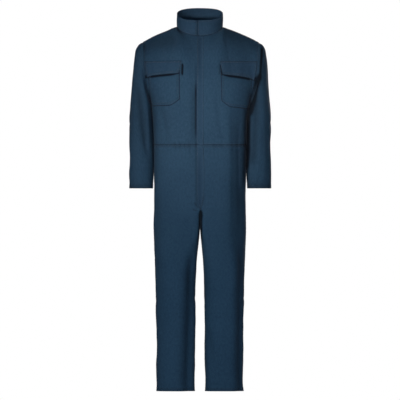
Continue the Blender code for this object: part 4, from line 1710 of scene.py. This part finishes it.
@dataclass
class Bodice:
    """The two fronts and the back, from the waist seam to the neckline and the shoulders."""

    wardrobe: Wardrobe
    cell: float = 0.0042
    wall: float = 0.0012
    front_cut: Cut = Cut(0.300, 0.560, 0.150)
    back_cut: Cut = Cut(0.560, 0.560, 0.300)
    waist_pucker: float = 0.0010

    def front(self, side: Side) -> Cloth:
        """Lays a front panel: its side and shoulder seams go under the back's.

        Args:
            side: Which side of the wearer.

        Returns:
            The panel.
        """
        armhole_first = FORM.armpit_share + 0.02
        seams = (
            Seam(Edge.END, first=armhole_first),
            tucked(Edge.END, last=FORM.armpit_share),
            tucked(Edge.LOW, pucker=self.waist_pucker, drop=0.0024),
            tucked(Edge.HIGH, drop=0.0014),
        )
        return Cloth.cut(
            f"front_{side.word}_cloth",
            lambda u, v: FORM.bodice(side, Face.FRONT, u, v),
            side.value, self.cell, seams, BODY_FOLDS, BODY_SHADES,
        )

    def back(self) -> Cloth:
        """Lays the back, which laps over the fronts at the side and shoulder seams.

        Returns:
            The panel.
        """
        armhole_first = FORM.armpit_share + 0.02
        neck = FORM.neck_share / 2
        seams = (
            Seam(Edge.START, last=FORM.armpit_share),
            Seam(Edge.END, last=FORM.armpit_share),
            Seam(Edge.START, first=armhole_first),
            Seam(Edge.END, first=armhole_first),
            tucked(Edge.LOW, pucker=self.waist_pucker * 1.3, drop=0.0016),
            Seam(Edge.HIGH, last=0.5 - neck),
            Seam(Edge.HIGH, first=0.5 + neck),
            tucked(Edge.HIGH, first=0.5 - neck, last=0.5 + neck, drop=0.0014),
        )

        def surface(u: Array, v: Array) -> Array:
            """Both halves of the back as one surface.

            Args:
                u: Shares across it.
                v: Shares up it.

            Returns:
                Points on the back.
            """
            across = 2 * u - 1
            right = FORM.bodice(Side.RIGHT, Face.BACK, -across, v)
            left = FORM.bodice(Side.LEFT, Face.BACK, across, v)
            return np.where((across < 0)[..., None], right, left)

        return Cloth.cut("back_cloth", surface, -1, self.cell, seams, BODY_FOLDS,
                         BODY_SHADES)

    def build(self) -> None:
        """Makes the panels and the stitching of their seams."""
        thread = Thread("bodice_stitching")
        low, high = FORM.armpit_share, FORM.armpit_share + 0.03
        for side in Side:
            cloth = self.front(side)
            self.wardrobe.hang(cloth, self.wall, Slot.TWILL, self.front_cut, ["collar"])
            for row in Seam(Edge.END).rows:
                thread.sew(cloth.line(Edge.END, row, first=high))
        cloth = self.back()
        self.wardrobe.hang(cloth, self.wall, Slot.TWILL, self.back_cut, ["collar"])
        columns = np.linspace(-1, 1, cloth.points.shape[1])
        neck = float(np.interp(FORM.neck_half * 1.02, cloth.points[-1, :, 0], columns))
        for row in Seam(Edge.END).rows:
            for edge in (Edge.START, Edge.END):
                thread.sew(cloth.line(edge, row, last=low))
                thread.sew(cloth.line(edge, row, first=high))
            thread.sew(cloth.line(Edge.HIGH, row, last=(1 - neck) / 2))
            thread.sew(cloth.line(Edge.HIGH, row, first=(1 + neck) / 2))
        self.wardrobe.dress_thread(thread.make())


@dataclass
class Trousers:
    """The four trouser panels, from the waist seam to the hems."""

    wardrobe: Wardrobe
    cell: float = 0.0048
    wall: float = 0.0012
    hem_depth: float = 0.012
    waist_rows: tuple[float, ...] = (0.0015, 0.0095)
    front_cut: Cut = Cut(0.305, 1.105, 0.320)
    back_cut: Cut = Cut(0.310, 1.110, 0.328)

    def panel(self, side: Side, face: Face) -> Cloth:
        """Lays a trouser panel: the back laps over the front at both its seams.

        Args:
            side: Which side of the wearer.
            face: The front or the back.

        Returns:
            The panel.
        """
        lapped = face is Face.BACK
        crotch = (FORM.crotch - FORM.hem) / (FORM.waist - FORM.hem)
        seams = [hemmed(Edge.LOW, self.hem_depth),
                 Seam(Edge.HIGH, 0.0115, 0.0010, self.waist_rows, edge_shade=0.9,
                      shade_reach=0.0010, row_shade=0.34, pucker=0.0013, pucker_reach=0.024)]
        if lapped:
            seams += [Seam(Edge.START, last=crotch - 0.01), Seam(Edge.END)]
        else:
            seams += [tucked(Edge.START, last=crotch - 0.01), tucked(Edge.END)]
        return Cloth.cut(
            f"trouser_{face.name.lower()}_{side.word}_cloth",
            lambda u, v: FORM.trousers(side, face, u, v),
            -face.value * side.value, self.cell, seams, BODY_FOLDS, BODY_SHADES,
        )

    def build(self) -> None:
        """Makes the panels and the stitching of their seams."""
        thread = Thread("trouser_stitching")
        crotch = (FORM.crotch - FORM.hem) / (FORM.waist - FORM.hem)
        for side in Side:
            for face in Face:
                cloth = self.panel(side, face)
                cut = self.back_cut if face is Face.BACK else self.front_cut
                over = "back" if face is Face.BACK else f"front_{side.word}"
                self.wardrobe.hang(cloth, self.wall, Slot.TWILL, cut, [over])
                thread.sew(cloth.line(Edge.LOW, self.hem_depth))
                for row in self.waist_rows:
                    thread.sew(cloth.line(Edge.HIGH, row))
                if face is Face.BACK:
                    for row in Seam(Edge.END).rows:
                        thread.sew(cloth.line(Edge.END, row))
                        thread.sew(cloth.line(Edge.START, row, last=crotch - 0.02))
        self.wardrobe.dress_thread(thread.make())


@dataclass
class Sleeves:
    """The two long sleeves, each with an underarm seam and a hemmed cuff."""

    wardrobe: Wardrobe
    cell: float = 0.0042
    wall: float = 0.0012
    hem_depth: float = 0.014
    cut: Cut = Cut(0.420, 0.660, 0.215)

    def sleeve(self, side: Side) -> Cloth:
        """Lays a sleeve, round from its underarm seam.

        Args:
            side: Which side of the wearer.

        Returns:
            The sleeve.
        """
        seams = (
            tucked(Edge.START),
            Seam(Edge.END),
            hemmed(Edge.HIGH, self.hem_depth),
        )
        return Cloth.cut(
            f"sleeve_{side.word}_cloth",
            lambda u, v: FORM.sleeve(side, u, v),
            -side.value, self.cell, seams, SLEEVE_FOLDS, SLEEVE_SHADES,
        )

    def build(self) -> None:
        """Makes the sleeves and their stitching."""
        thread = Thread("sleeve_stitching")
        for side in Side:
            cloth = self.sleeve(side)
            self.wardrobe.hang(cloth, self.wall, Slot.TWILL, self.cut,
                               [f"front_{side.word}", "back"])
            thread.sew(cloth.line(Edge.HIGH, self.hem_depth))
            for row in Seam(Edge.END).rows:
                thread.sew(cloth.line(Edge.END, row, first=0.02))
        self.wardrobe.dress_thread(thread.make())


@dataclass
class Collar:
    """The standing collar: a doubled band whose ends meet just right of centre."""

    wardrobe: Wardrobe
    cell: float = 0.0034
    wall: float = 0.0026
    edge_round: float = 0.0010
    top_row: float = 0.0060
    base_row: float = 0.0035
    end_row: float = 0.0050
    cut: Cut = Cut(0.575, 0.066, 0.0372)

    def build(self) -> None:
        """Makes the collar and its stitching."""
        start, end = FORM.collar_turns()
        seams = (
            Seam(Edge.HIGH, 0.0012, 0.0, (self.top_row,), rope=0.0, edge_shade=0.0),
            Seam(Edge.LOW, 0.0012, 0.0, (self.base_row,), rope=0.0, edge_shade=0.9),
            Seam(Edge.START, 0.0012, 0.0, (self.end_row,), rope=0.0, edge_shade=1.2,
                 shade_reach=0.0016),
            Seam(Edge.END, 0.0012, 0.0, (self.end_row,), rope=0.0, edge_shade=1.2,
                 shade_reach=0.0010),
        )
        cloth = Cloth.cut(
            "collar_cloth",
            lambda u, v: FORM.collar(start + (end - start) * u, v),
            1, self.cell, seams, COLLAR_FOLDS,
        )
        self.wardrobe.hang(cloth, self.wall, Slot.DOUBLED, self.cut,
                           ["front_left", "front_right", "back"], self.edge_round, "stretched")
        thread = Thread("collar_stitching")
        thread.sew(cloth.line(Edge.HIGH, self.top_row, 0.01, 0.99))
        thread.sew(cloth.line(Edge.LOW, self.base_row))
        for edge in (Edge.START, Edge.END):
            thread.sew(cloth.line(edge, self.end_row, 0.08, 0.90))
        self.wardrobe.dress_thread(thread.make())


@dataclass
class Fly:
    """The strip over the front opening, free along its right edge and sewn along its left."""

    wardrobe: Wardrobe
    cell: float = 0.0026
    wall: float = 0.0014
    edge_round: float = 0.0004
    right: float = -0.0130
    left: float = 0.0165
    free_lift: float = 0.0050
    sewn_lift: float = 0.0002
    sewn_row: float = 0.0030
    edge_row: float = 0.0030
    foot: tuple[tuple[float, float, float], ...] = (
        (-0.802, -0.0020, 0.0060),
        (-0.770, -0.0105, 0.0125),
        (-0.735, -0.0130, 0.0165),
        (-0.519, -0.0130, 0.0165),
    )
    top_span: tuple[float, float] = (-0.004, 0.992)  # shares up the bodice
    foot_end: float = 0.9995  # a share up the trousers
    reach: float = 0.34  # how far across a front panel the strip may come
    reach_steps: int = 86
    columns: int = 12
    rows_per_panel: int = 180
    smoothings: int = 3
    top_cut: Cut = Cut(0.032, 0.520, 0.0160)
    foot_cut: Cut = Cut(0.032, 0.290, 0.0088)

    def on_fronts(self, panel: Callable[..., Array], x: Array, up: Array) -> Array:
        """Points on the two front panels together, by how far they are from the centre line.

        Args:
            panel: FORM.bodice or FORM.trousers.
            x: The distance to the wearer's left.
            up: How far up the panel.

        Returns:
            Points on the outside of the cloth.
        """
        steps = np.linspace(0, self.reach, self.reach_steps)
        rows, where = np.unique(up, return_inverse=True)
        lines = [panel(Side.LEFT, Face.FRONT, steps, np.full(steps.shape, row))[:, 0]
                 for row in rows]
        across = np.array([np.interp(abs(one), lines[i], steps)
                           for one, i in zip(x.flat, where.flat)]).reshape(x.shape)
        found = []
        for side in (Side.RIGHT, Side.LEFT):
            points = panel(side, Face.FRONT, across, up)
            out = surface_normals(lambda a, b: panel(side, Face.FRONT, a, b), across, up)
            out = out * side.value
            found.append(points + out * relief(BODY_FOLDS, points, out)[..., None])
        return np.where((x < 0)[..., None], found[0], found[1])

    def lift(self, u: Array, v: Array, base: Array) -> Array:
        """How far the strip stands off the fronts: most along its free edge.

        Args:
            u: Shares across it.
            v: Shares up it; not used.
            base: Its points.

        Returns:
            A distance for each point.
        """
        free = 1 - ease(u / 0.80)
        wave = 0.0003 * np.sin(2 * pi * base[..., 2] / 0.085) * (1 - u)
        return self.sewn_lift + (self.free_lift - self.sewn_lift) * free + wave * free

    def strip(self, name: str, panel: Callable[..., Array], low: float, high: float,
              edges: Callable[[Array], tuple[Array, Array]]) -> Cloth:
        """Lays a length of the strip.

        Args:
            name: The piece's name.
            panel: The panel function it lies on.
            low: Where it starts, as a share up the panel.
            high: Where it ends.
            edges: Gives its right and left edges for a share up the panel.

        Returns:
            The piece.
        """
        def surface(u: Array, v: Array) -> Array:
            """The strip's place on the fronts.

            Args:
                u: Shares across it.
                v: Shares up it.

            Returns:
                Points on the fronts.
            """
            up = low + (high - low) * v
            right, left = edges(up)
            return self.on_fronts(panel, right + (left - right) * u, up)

        rows = round((high - low) * self.rows_per_panel)
        u, v = np.meshgrid(np.linspace(0, 1, self.columns), np.linspace(0, 1, rows))
        points = surface(u, v)
        out = grid_normals(points)
        for _ in range(self.smoothings):
            out[1:-1] = unit(out[:-2] + 2 * out[1:-1] + out[2:])
        seams = (
            Seam(Edge.START, 0.0060, 0.0010, (self.edge_row,), rope=0.0, edge_shade=0.3,
                 shade_reach=0.0050, row_shade=0.10),
            Seam(Edge.END, 0.0012, 0.0, (self.sewn_row,), rope=0.0, row_shade=0.75),
        )
        return Cloth.sewn(name, points, out, 1, seams, self.lift)

    def build(self) -> None:
        """Makes the strip in its two lengths, and its stitching."""
        thread = Thread("fly_stitching")

        def full(up: Array) -> tuple[Array, Array]:
            """The edges above the waist, which run straight."""
            return np.full(up.shape, self.right), np.full(up.shape, self.left)

        def narrowing(up: Array) -> tuple[Array, Array]:
            """The edges below the waist, which draw in to a point at the foot.

            Args:
                up: Shares up the panel.

            Returns:
                The right and the left edge.
            """
            height = FORM.hem + (FORM.waist - FORM.hem) * up
            right, left = read(self.foot, height)
            return right, left

        first = (self.foot[0][0] - FORM.hem) / (FORM.waist - FORM.hem)
        top = self.strip("fly_top_cloth", FORM.bodice, *self.top_span, full)
        foot = self.strip("fly_foot_cloth", FORM.trousers, first, self.foot_end, narrowing)
        for cloth, cut, under in ((top, self.top_cut, "front"),
                                  (foot, self.foot_cut, "trouser_front")):
            self.wardrobe.hang(cloth, self.wall, Slot.DOUBLED, cut,
                               [f"{under}_left", f"{under}_right"], self.edge_round)
            thread.sew(cloth.line(Edge.END, self.sewn_row))
            thread.sew(cloth.line(Edge.START, self.edge_row))
        self.wardrobe.dress_thread(thread.make())


class Corner(NamedTuple):
    """A corner of a pocket or a flap: how far across the front panel, and its height."""

    across: float
    height: float


@dataclass(frozen=True)
class Patch:
    """The outline of a pocket or a flap by its corners, with its lower corners cut off."""

    inner_top: Corner
    outer_top: Corner
    outer_low: Corner
    inner_low: Corner
    chamfer: float = 0.0
    span: float = 0.15  # the patch's width, for measuring its chamfer
    soft: float = 0.004  # how softly the chamfer turns

    def place(self, side: Side, u: Array, v: Array) -> tuple[Array, Array]:
        """Points of the patch on its front panel, and the directions out of it.

        Args:
            side: Which front.
            u: 0 at the inner edge, 1 at the outer edge.
            v: 0 at the foot, 1 at the top.

        Returns:
            The points and the directions.
        """
        inner_top, outer_top, outer_low, inner_low = (
            np.array(corner)
            for corner in (self.inner_top, self.outer_top, self.outer_low, self.inner_low)
        )
        u3, v3 = u[..., None], v[..., None]
        low = inner_low + u3 * (outer_low - inner_low)
        spot = low + v3 * (inner_top + u3 * (outer_top - inner_top) - low)
        across, height = spot[..., 0], spot[..., 1]
        if self.chamfer:
            run = np.minimum(u, 1 - u) * self.span
            cut = self.soft * np.log1p(np.exp((self.chamfer - run) / self.soft))
            height = height + cut * (1 - v)
        steps = np.linspace(0, 1, PANEL_STEPS)
        up = []
        for one_across, one_height in zip(across.flat, height.flat):
            line = FORM.bodice(side, Face.FRONT, np.full(PANEL_STEPS, one_across), steps)
            up.append(np.interp(one_height, line[:, 2], steps))
        up = np.reshape(up, across.shape)

        def panel(a: Array, b: Array) -> Array:
            """The front panel that the patch lies on."""
            return FORM.bodice(side, Face.FRONT, a, b)

        points = panel(across, up)
        out = surface_normals(panel, across, up) * side.value
        return points + out * relief(BODY_FOLDS, points, out)[..., None], out


class Lift(NamedTuple):
    """How far a flap's lower edge stands off its pocket, at three places across."""

    inner: float
    middle: float
    outer: float


@dataclass
class ChestPockets:
    """The two patch pockets and their flaps."""

    wardrobe: Wardrobe
    wall: float = 0.0011
    flap_wall: float = 0.0020
    edge_round: float = 0.0003
    flap_round: float = 0.0005
    clear: float = 0.0004
    fullness: float = 0.0030
    full_power: float = 0.6
    full_from: float = 0.30  # share up a pocket at which it is at its fullest
    under_flap: float = 0.055  # share of a pocket over which the flap holds it flat
    lift_places: tuple[float, float, float] = (0, 0.45, 1)  # where each Lift is measured
    foot_wave: float = 0.0006
    foot_wave_length: float = 0.31
    flap_curve: float = 1.35
    # How dark the painted shadow below each flap is, and how far down it reaches.
    flap_shade: float = 4.5
    shade_width: float = 0.0062
    pocket_cells: tuple[int, int] = (56, 60)
    flap_cells: tuple[int, int] = (60, 26)
    pocket_rows: tuple[float, ...] = (0.0025, 0.0125)
    flap_rows: tuple[float, ...] = (0.0025, 0.0095)
    top_rows: tuple[float, ...] = (0.0020, 0.0075)
    # Shares of a pocket's sides and foot between which each of its rows runs.
    row_starts: tuple[float, ...] = (0.0, 0.16)
    row_insets: tuple[float, ...] = (0.0, 0.09)
    row_end: float = 0.93
    pockets: tuple[tuple[Side, Patch], ...] = (
        (Side.LEFT, Patch(Corner(0.256, -0.168), Corner(0.860, -0.180), Corner(0.900, -0.364),
                          Corner(0.276, -0.352), 0.026)),
        (Side.RIGHT, Patch(Corner(0.256, -0.168), Corner(0.860, -0.176), Corner(0.900, -0.350),
                           Corner(0.256, -0.347), 0.028)),
    )
    flaps: tuple[tuple[Side, Patch, Lift], ...] = (
        (Side.LEFT, Patch(Corner(0.256, -0.152), Corner(0.975, -0.152), Corner(0.975, -0.232),
                          Corner(0.276, -0.210)), Lift(0.0100, 0.0080, 0.0105)),
        (Side.RIGHT, Patch(Corner(0.236, -0.150), Corner(0.970, -0.152), Corner(0.970, -0.220),
                           Corner(0.256, -0.205)), Lift(0.0150, 0.0096, 0.0080)),
    )
    pocket_cut: Cut = Cut(0.165, 0.185, 0.0295)
    flap_cut: Cut = Cut(0.185, 0.066, 0.0115)

    def flap_foot(self, side: Side, patch: Patch) -> Callable[[Array], Array]:
        """Gives how far up its pocket a flap's foot comes, for places across the pocket.

        Args:
            side: Which side of the wearer.
            patch: The pocket's outline.

        Returns:
            A function of places across the pocket.
        """
        flap = next(shape for at, shape, _ in self.flaps if at is side)

        def share(a: Array) -> Array:
            """The flap's foot as a share of the pocket's height.

            Args:
                a: Shares across it.

            Returns:
                Shares of the height.
            """
            across = patch.inner_low.across + a * (patch.outer_low.across
                                                   - patch.inner_low.across)
            low, high = flap.inner_low, flap.outer_low
            at = (across - low.across) / (high.across - low.across)
            height = low.height + at * (high.height - low.height)
            foot = patch.inner_low.height + a * (patch.outer_low.height
                                                 - patch.inner_low.height)
            head = patch.inner_top.height + a * (patch.outer_top.height
                                                 - patch.inner_top.height)
            return (height - foot) / (head - foot)

        return share

    def pocket(self, side: Side, patch: Patch, thread: Thread) -> Cloth:
        """Lays a pocket, a little full in the middle, and sews it on along three edges.

        Args:
            side: Which side of the wearer.
            patch: Its outline.
            thread: The stitching to add to.

        Returns:
            The pocket.
        """
        u, v = np.meshgrid(*(np.linspace(0, 1, cells + 1) for cells in self.pocket_cells))
        points, out = patch.place(side, u, v)
        seams = tuple(
            Seam(edge, 0.0012, 0.0, self.pocket_rows, rope=0.00010, edge_shade=1.6,
                 shade_reach=0.0022, row_shade=0.35)
            for edge in (Edge.START, Edge.END, Edge.LOW)
        )
        foot = self.flap_foot(side, patch)

        def lift(a: Array, b: Array, base: Array) -> Array:
            """Its distance off the front.

            Args:
                a: Shares across it.
                b: Shares up it.
                base: Its points; not used.

            Returns:
                A distance for each point.
            """
            full = np.sin(pi * a) ** self.full_power * ease(b / self.full_from)
            below = ease((foot(a) - b) / self.under_flap)
            return self.clear + self.wall + self.fullness * full * below

        cloth = Cloth.sewn(f"chest_pocket_{side.word}_cloth", points, out, side.value,
                           seams, lift)
        # Painted shadow on the pocket just below the flap's foot.
        below = (foot(u) - v) * (patch.inner_top.height - patch.inner_low.height)
        cloth.crevice += self.flap_shade * hump(np.maximum(below, 0), self.shade_width)
        for row, first_side, inset in zip(self.pocket_rows, self.row_starts, self.row_insets):
            thread.sew(cloth.line(Edge.START, row, first_side, self.row_end))
            thread.sew(cloth.line(Edge.END, row, first_side, self.row_end))
            thread.sew(cloth.line(Edge.LOW, row, inset, 1 - inset))
        return cloth

    def flap(self, side: Side, patch: Patch, lifts: Lift, thread: Thread) -> Cloth:
        """Lays a flap, with its foot standing off the pocket, and sews it.

        Args:
            side: Which side of the wearer.
            patch: Its outline.
            lifts: How far its foot stands off.
            thread: The stitching to add to.

        Returns:
            The flap.
        """
        u, v = np.meshgrid(*(np.linspace(0, 1, cells + 1) for cells in self.flap_cells))
        points, out = patch.place(side, u, v)
        seams = tuple(
            Seam(edge, 0.0012, 0.0, self.flap_rows, rope=0.00012, row_shade=0.30)
            for edge in (Edge.START, Edge.END, Edge.LOW)
        ) + (Seam(Edge.HIGH, 0.0012, 0.0, self.top_rows, rope=0.00015, edge_shade=0.8,
                  shade_reach=0.0020),)

        def lift(a: Array, b: Array, base: Array) -> Array:
            """Its distance off the front.

            Args:
                a: Shares across it.
                b: Shares up it.
                base: Its points; not used.

            Returns:
                A distance for each point.
            """
            foot = np.interp(a, self.lift_places, lifts)
            foot = foot + self.foot_wave * np.sin(2 * pi * a / self.foot_wave_length + 0.6)
            over = self.clear + 0.0004 + self.wall + self.flap_wall
            return over + (foot + self.fullness * 0.6) * (1 - b) ** self.flap_curve

        cloth = Cloth.sewn(f"pocket_flap_{side.word}_cloth", points, out, side.value,
                           seams, lift)
        for row in self.flap_rows:
            thread.sew(cloth.line(Edge.LOW, row, row * 5, 1 - row * 5))
            thread.sew(cloth.line(Edge.START, row, row * 14))
            thread.sew(cloth.line(Edge.END, row, row * 14))
        for row in self.top_rows:
            thread.sew(cloth.line(Edge.HIGH, row))
        return cloth

    def build(self) -> None:
        """Makes the pockets, the flaps and their stitching."""
        thread = Thread("pocket_stitching")
        for side, patch in self.pockets:
            self.wardrobe.hang(self.pocket(side, patch, thread), self.wall, Slot.TWILL,
                               self.pocket_cut, [f"front_{side.word}"],
                               self.edge_round)
        for side, patch, lifts in self.flaps:
            self.wardrobe.hang(self.flap(side, patch, lifts, thread), self.flap_wall,
                               Slot.DOUBLED, self.flap_cut, [f"front_{side.word}"],
                               self.flap_round)
        self.wardrobe.dress_thread(thread.make())


# --- The studio -----------------------------------------------------------------------------


WHITE = (1.0, 1.0, 1.0)
WARM = (1.14, 1.0, 0.95)
COOL = (0.86, 1.00, 1.14)
SHADOW = (0.95, 0.95, 1.10)


class Softbox(NamedTuple):
    """A square light: its name, place, size, power, the point it faces, its beam and colour."""

    name: str
    place: tuple[float, float, float]
    size: float
    power: float
    towards: tuple[float, float, float]
    beam: float = 180.0
    colour: tuple[float, float, float] = WHITE


@dataclass
class Studio:
    """The floor, the lights, the surroundings and the camera."""

    floor_height: float = -1.700
    floor_size: float = 2.6
    frame_width: float = 1.76
    camera_away: float = 36.0
    camera_height: float = -0.7612
    sensor: float = 36.0
    surround: float = 0.108
    lights: tuple[Softbox, ...] = (
        Softbox("key_light", (-1.4, -2.5, -0.36), 0.6, 0.73, (0.03, 0.0, -0.50), 20, WARM),
        Softbox("chest_light", (0.9, -3.4, -0.4), 0.9, 0.25, (0.12, 0.0, -0.20), 34, WARM),
        Softbox("pocket_light", (0.3, -3.4, -0.6), 0.6, 0.40, (0.10, 0.0, -0.29), 14, WARM),
        Softbox("neck_light", (-1.0, -3.1, -0.3), 0.5, 0.12, (-0.02, 0.0, 0.0), 11, WARM),
        Softbox("collar_light", (-1.6, -2.6, -0.3), 0.5, 0.13, (-0.03, 0.0, 0.0), 9),
        Softbox("leg_light", (-1.4, -3.2, -1.3), 0.8, 0.95, (0.0, 0.0, -1.30), 34),
        Softbox("low_light", (0.0, -3.5, -1.5), 0.8, 1.12, (0.0, 0.0, -1.30), 34, COOL),
        Softbox("back_light", (1.6, 3.6, -0.5), 2.4, 44.0, (0.0, 0.0, -0.7)),
    )

    def build(self) -> None:
        """Makes the floor, the lights, the surroundings and the camera."""
        bm = bmesh.new()
        bmesh.ops.create_grid(bm, x_segments=1, y_segments=1, size=self.floor_size / 2,
                              matrix=Matrix.Translation((0, 0, self.floor_height)))
        mesh = bpy.data.meshes.new("studio_floor")
        bm.to_mesh(mesh)
        bm.free()
        mesh.materials.append(PaleFloorFinish().material())
        floor = bpy.data.objects.new("studio_floor", mesh)
        bpy.context.scene.collection.objects.link(floor)
        floor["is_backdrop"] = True
        for softbox in self.lights:
            light = bpy.data.lights.new(softbox.name, "AREA")
            light.size, light.energy = softbox.size, softbox.power
            light.spread, light.color = radians(softbox.beam), softbox.colour
            stand = bpy.data.objects.new(softbox.name, light)
            stand.location = softbox.place
            ray = Vector(softbox.towards) - Vector(softbox.place)
            stand.rotation_mode = "QUATERNION"
            stand.rotation_quaternion = ray.to_track_quat("-Z", "Y")
            bpy.context.scene.collection.objects.link(stand)
        self.surroundings()
        self.camera()

    def surroundings(self) -> None:
        """A white backdrop that gives the suit a softer light than it shows."""
        world = bpy.data.worlds.new("white_studio")
        world.use_nodes = True
        tree = world.node_tree
        seen = tree.nodes.new("ShaderNodeBackground")
        seen.inputs["Color"].default_value = (1, 1, 1, 1)
        seen.inputs["Strength"].default_value = 1.0
        lit = tree.nodes["Background"]
        lit.inputs["Color"].default_value = (*SHADOW, 1)
        lit.inputs["Strength"].default_value = self.surround
        path = tree.nodes.new("ShaderNodeLightPath")
        mix = tree.nodes.new("ShaderNodeMixShader")
        tree.links.new(path.outputs["Is Camera Ray"], mix.inputs["Fac"])
        tree.links.new(lit.outputs["Background"], mix.inputs[1])
        tree.links.new(seen.outputs["Background"], mix.inputs[2])
        tree.links.new(mix.outputs["Shader"], tree.nodes["World Output"].inputs["Surface"])
        bpy.context.scene.world = world
        bpy.context.scene.view_settings.view_transform = "Standard"

    def camera(self) -> None:
        """A long lens, level with the middle of the suit."""
        data = bpy.data.cameras.new("camera")
        data.sensor_width = self.sensor
        data.lens = self.sensor * self.camera_away / self.frame_width
        data.clip_end = 100
        camera = bpy.data.objects.new("camera", data)
        camera.location = (0, -self.camera_away, self.camera_height)
        camera.rotation_euler = (radians(90), 0, 0)
        bpy.context.scene.collection.objects.link(camera)
        bpy.context.scene.camera = camera


def corners(box: tuple[Vector, Vector]) -> list[list[float]]:
    """A box's two corners as plain lists."""
    return [list(corner) for corner in box]


def main() -> None:
    """Builds the suit and the studio."""
    logging.basicConfig(level=logging.INFO, format="%(message)s")
    packed = corners(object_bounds())
    wardrobe = Wardrobe()
    for assembly in (Bodice(wardrobe), Trousers(wardrobe), Sleeves(wardrobe), Collar(wardrobe),
                     Fly(wardrobe), ChestPockets(wardrobe), Studio()):
        assembly.build()
        log.info("%s is built", type(assembly).__name__)
    bpy.context.view_layer.update()
    {"packed": packed, "dressed": corners(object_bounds())}


if __name__ == "__main__":
    main()
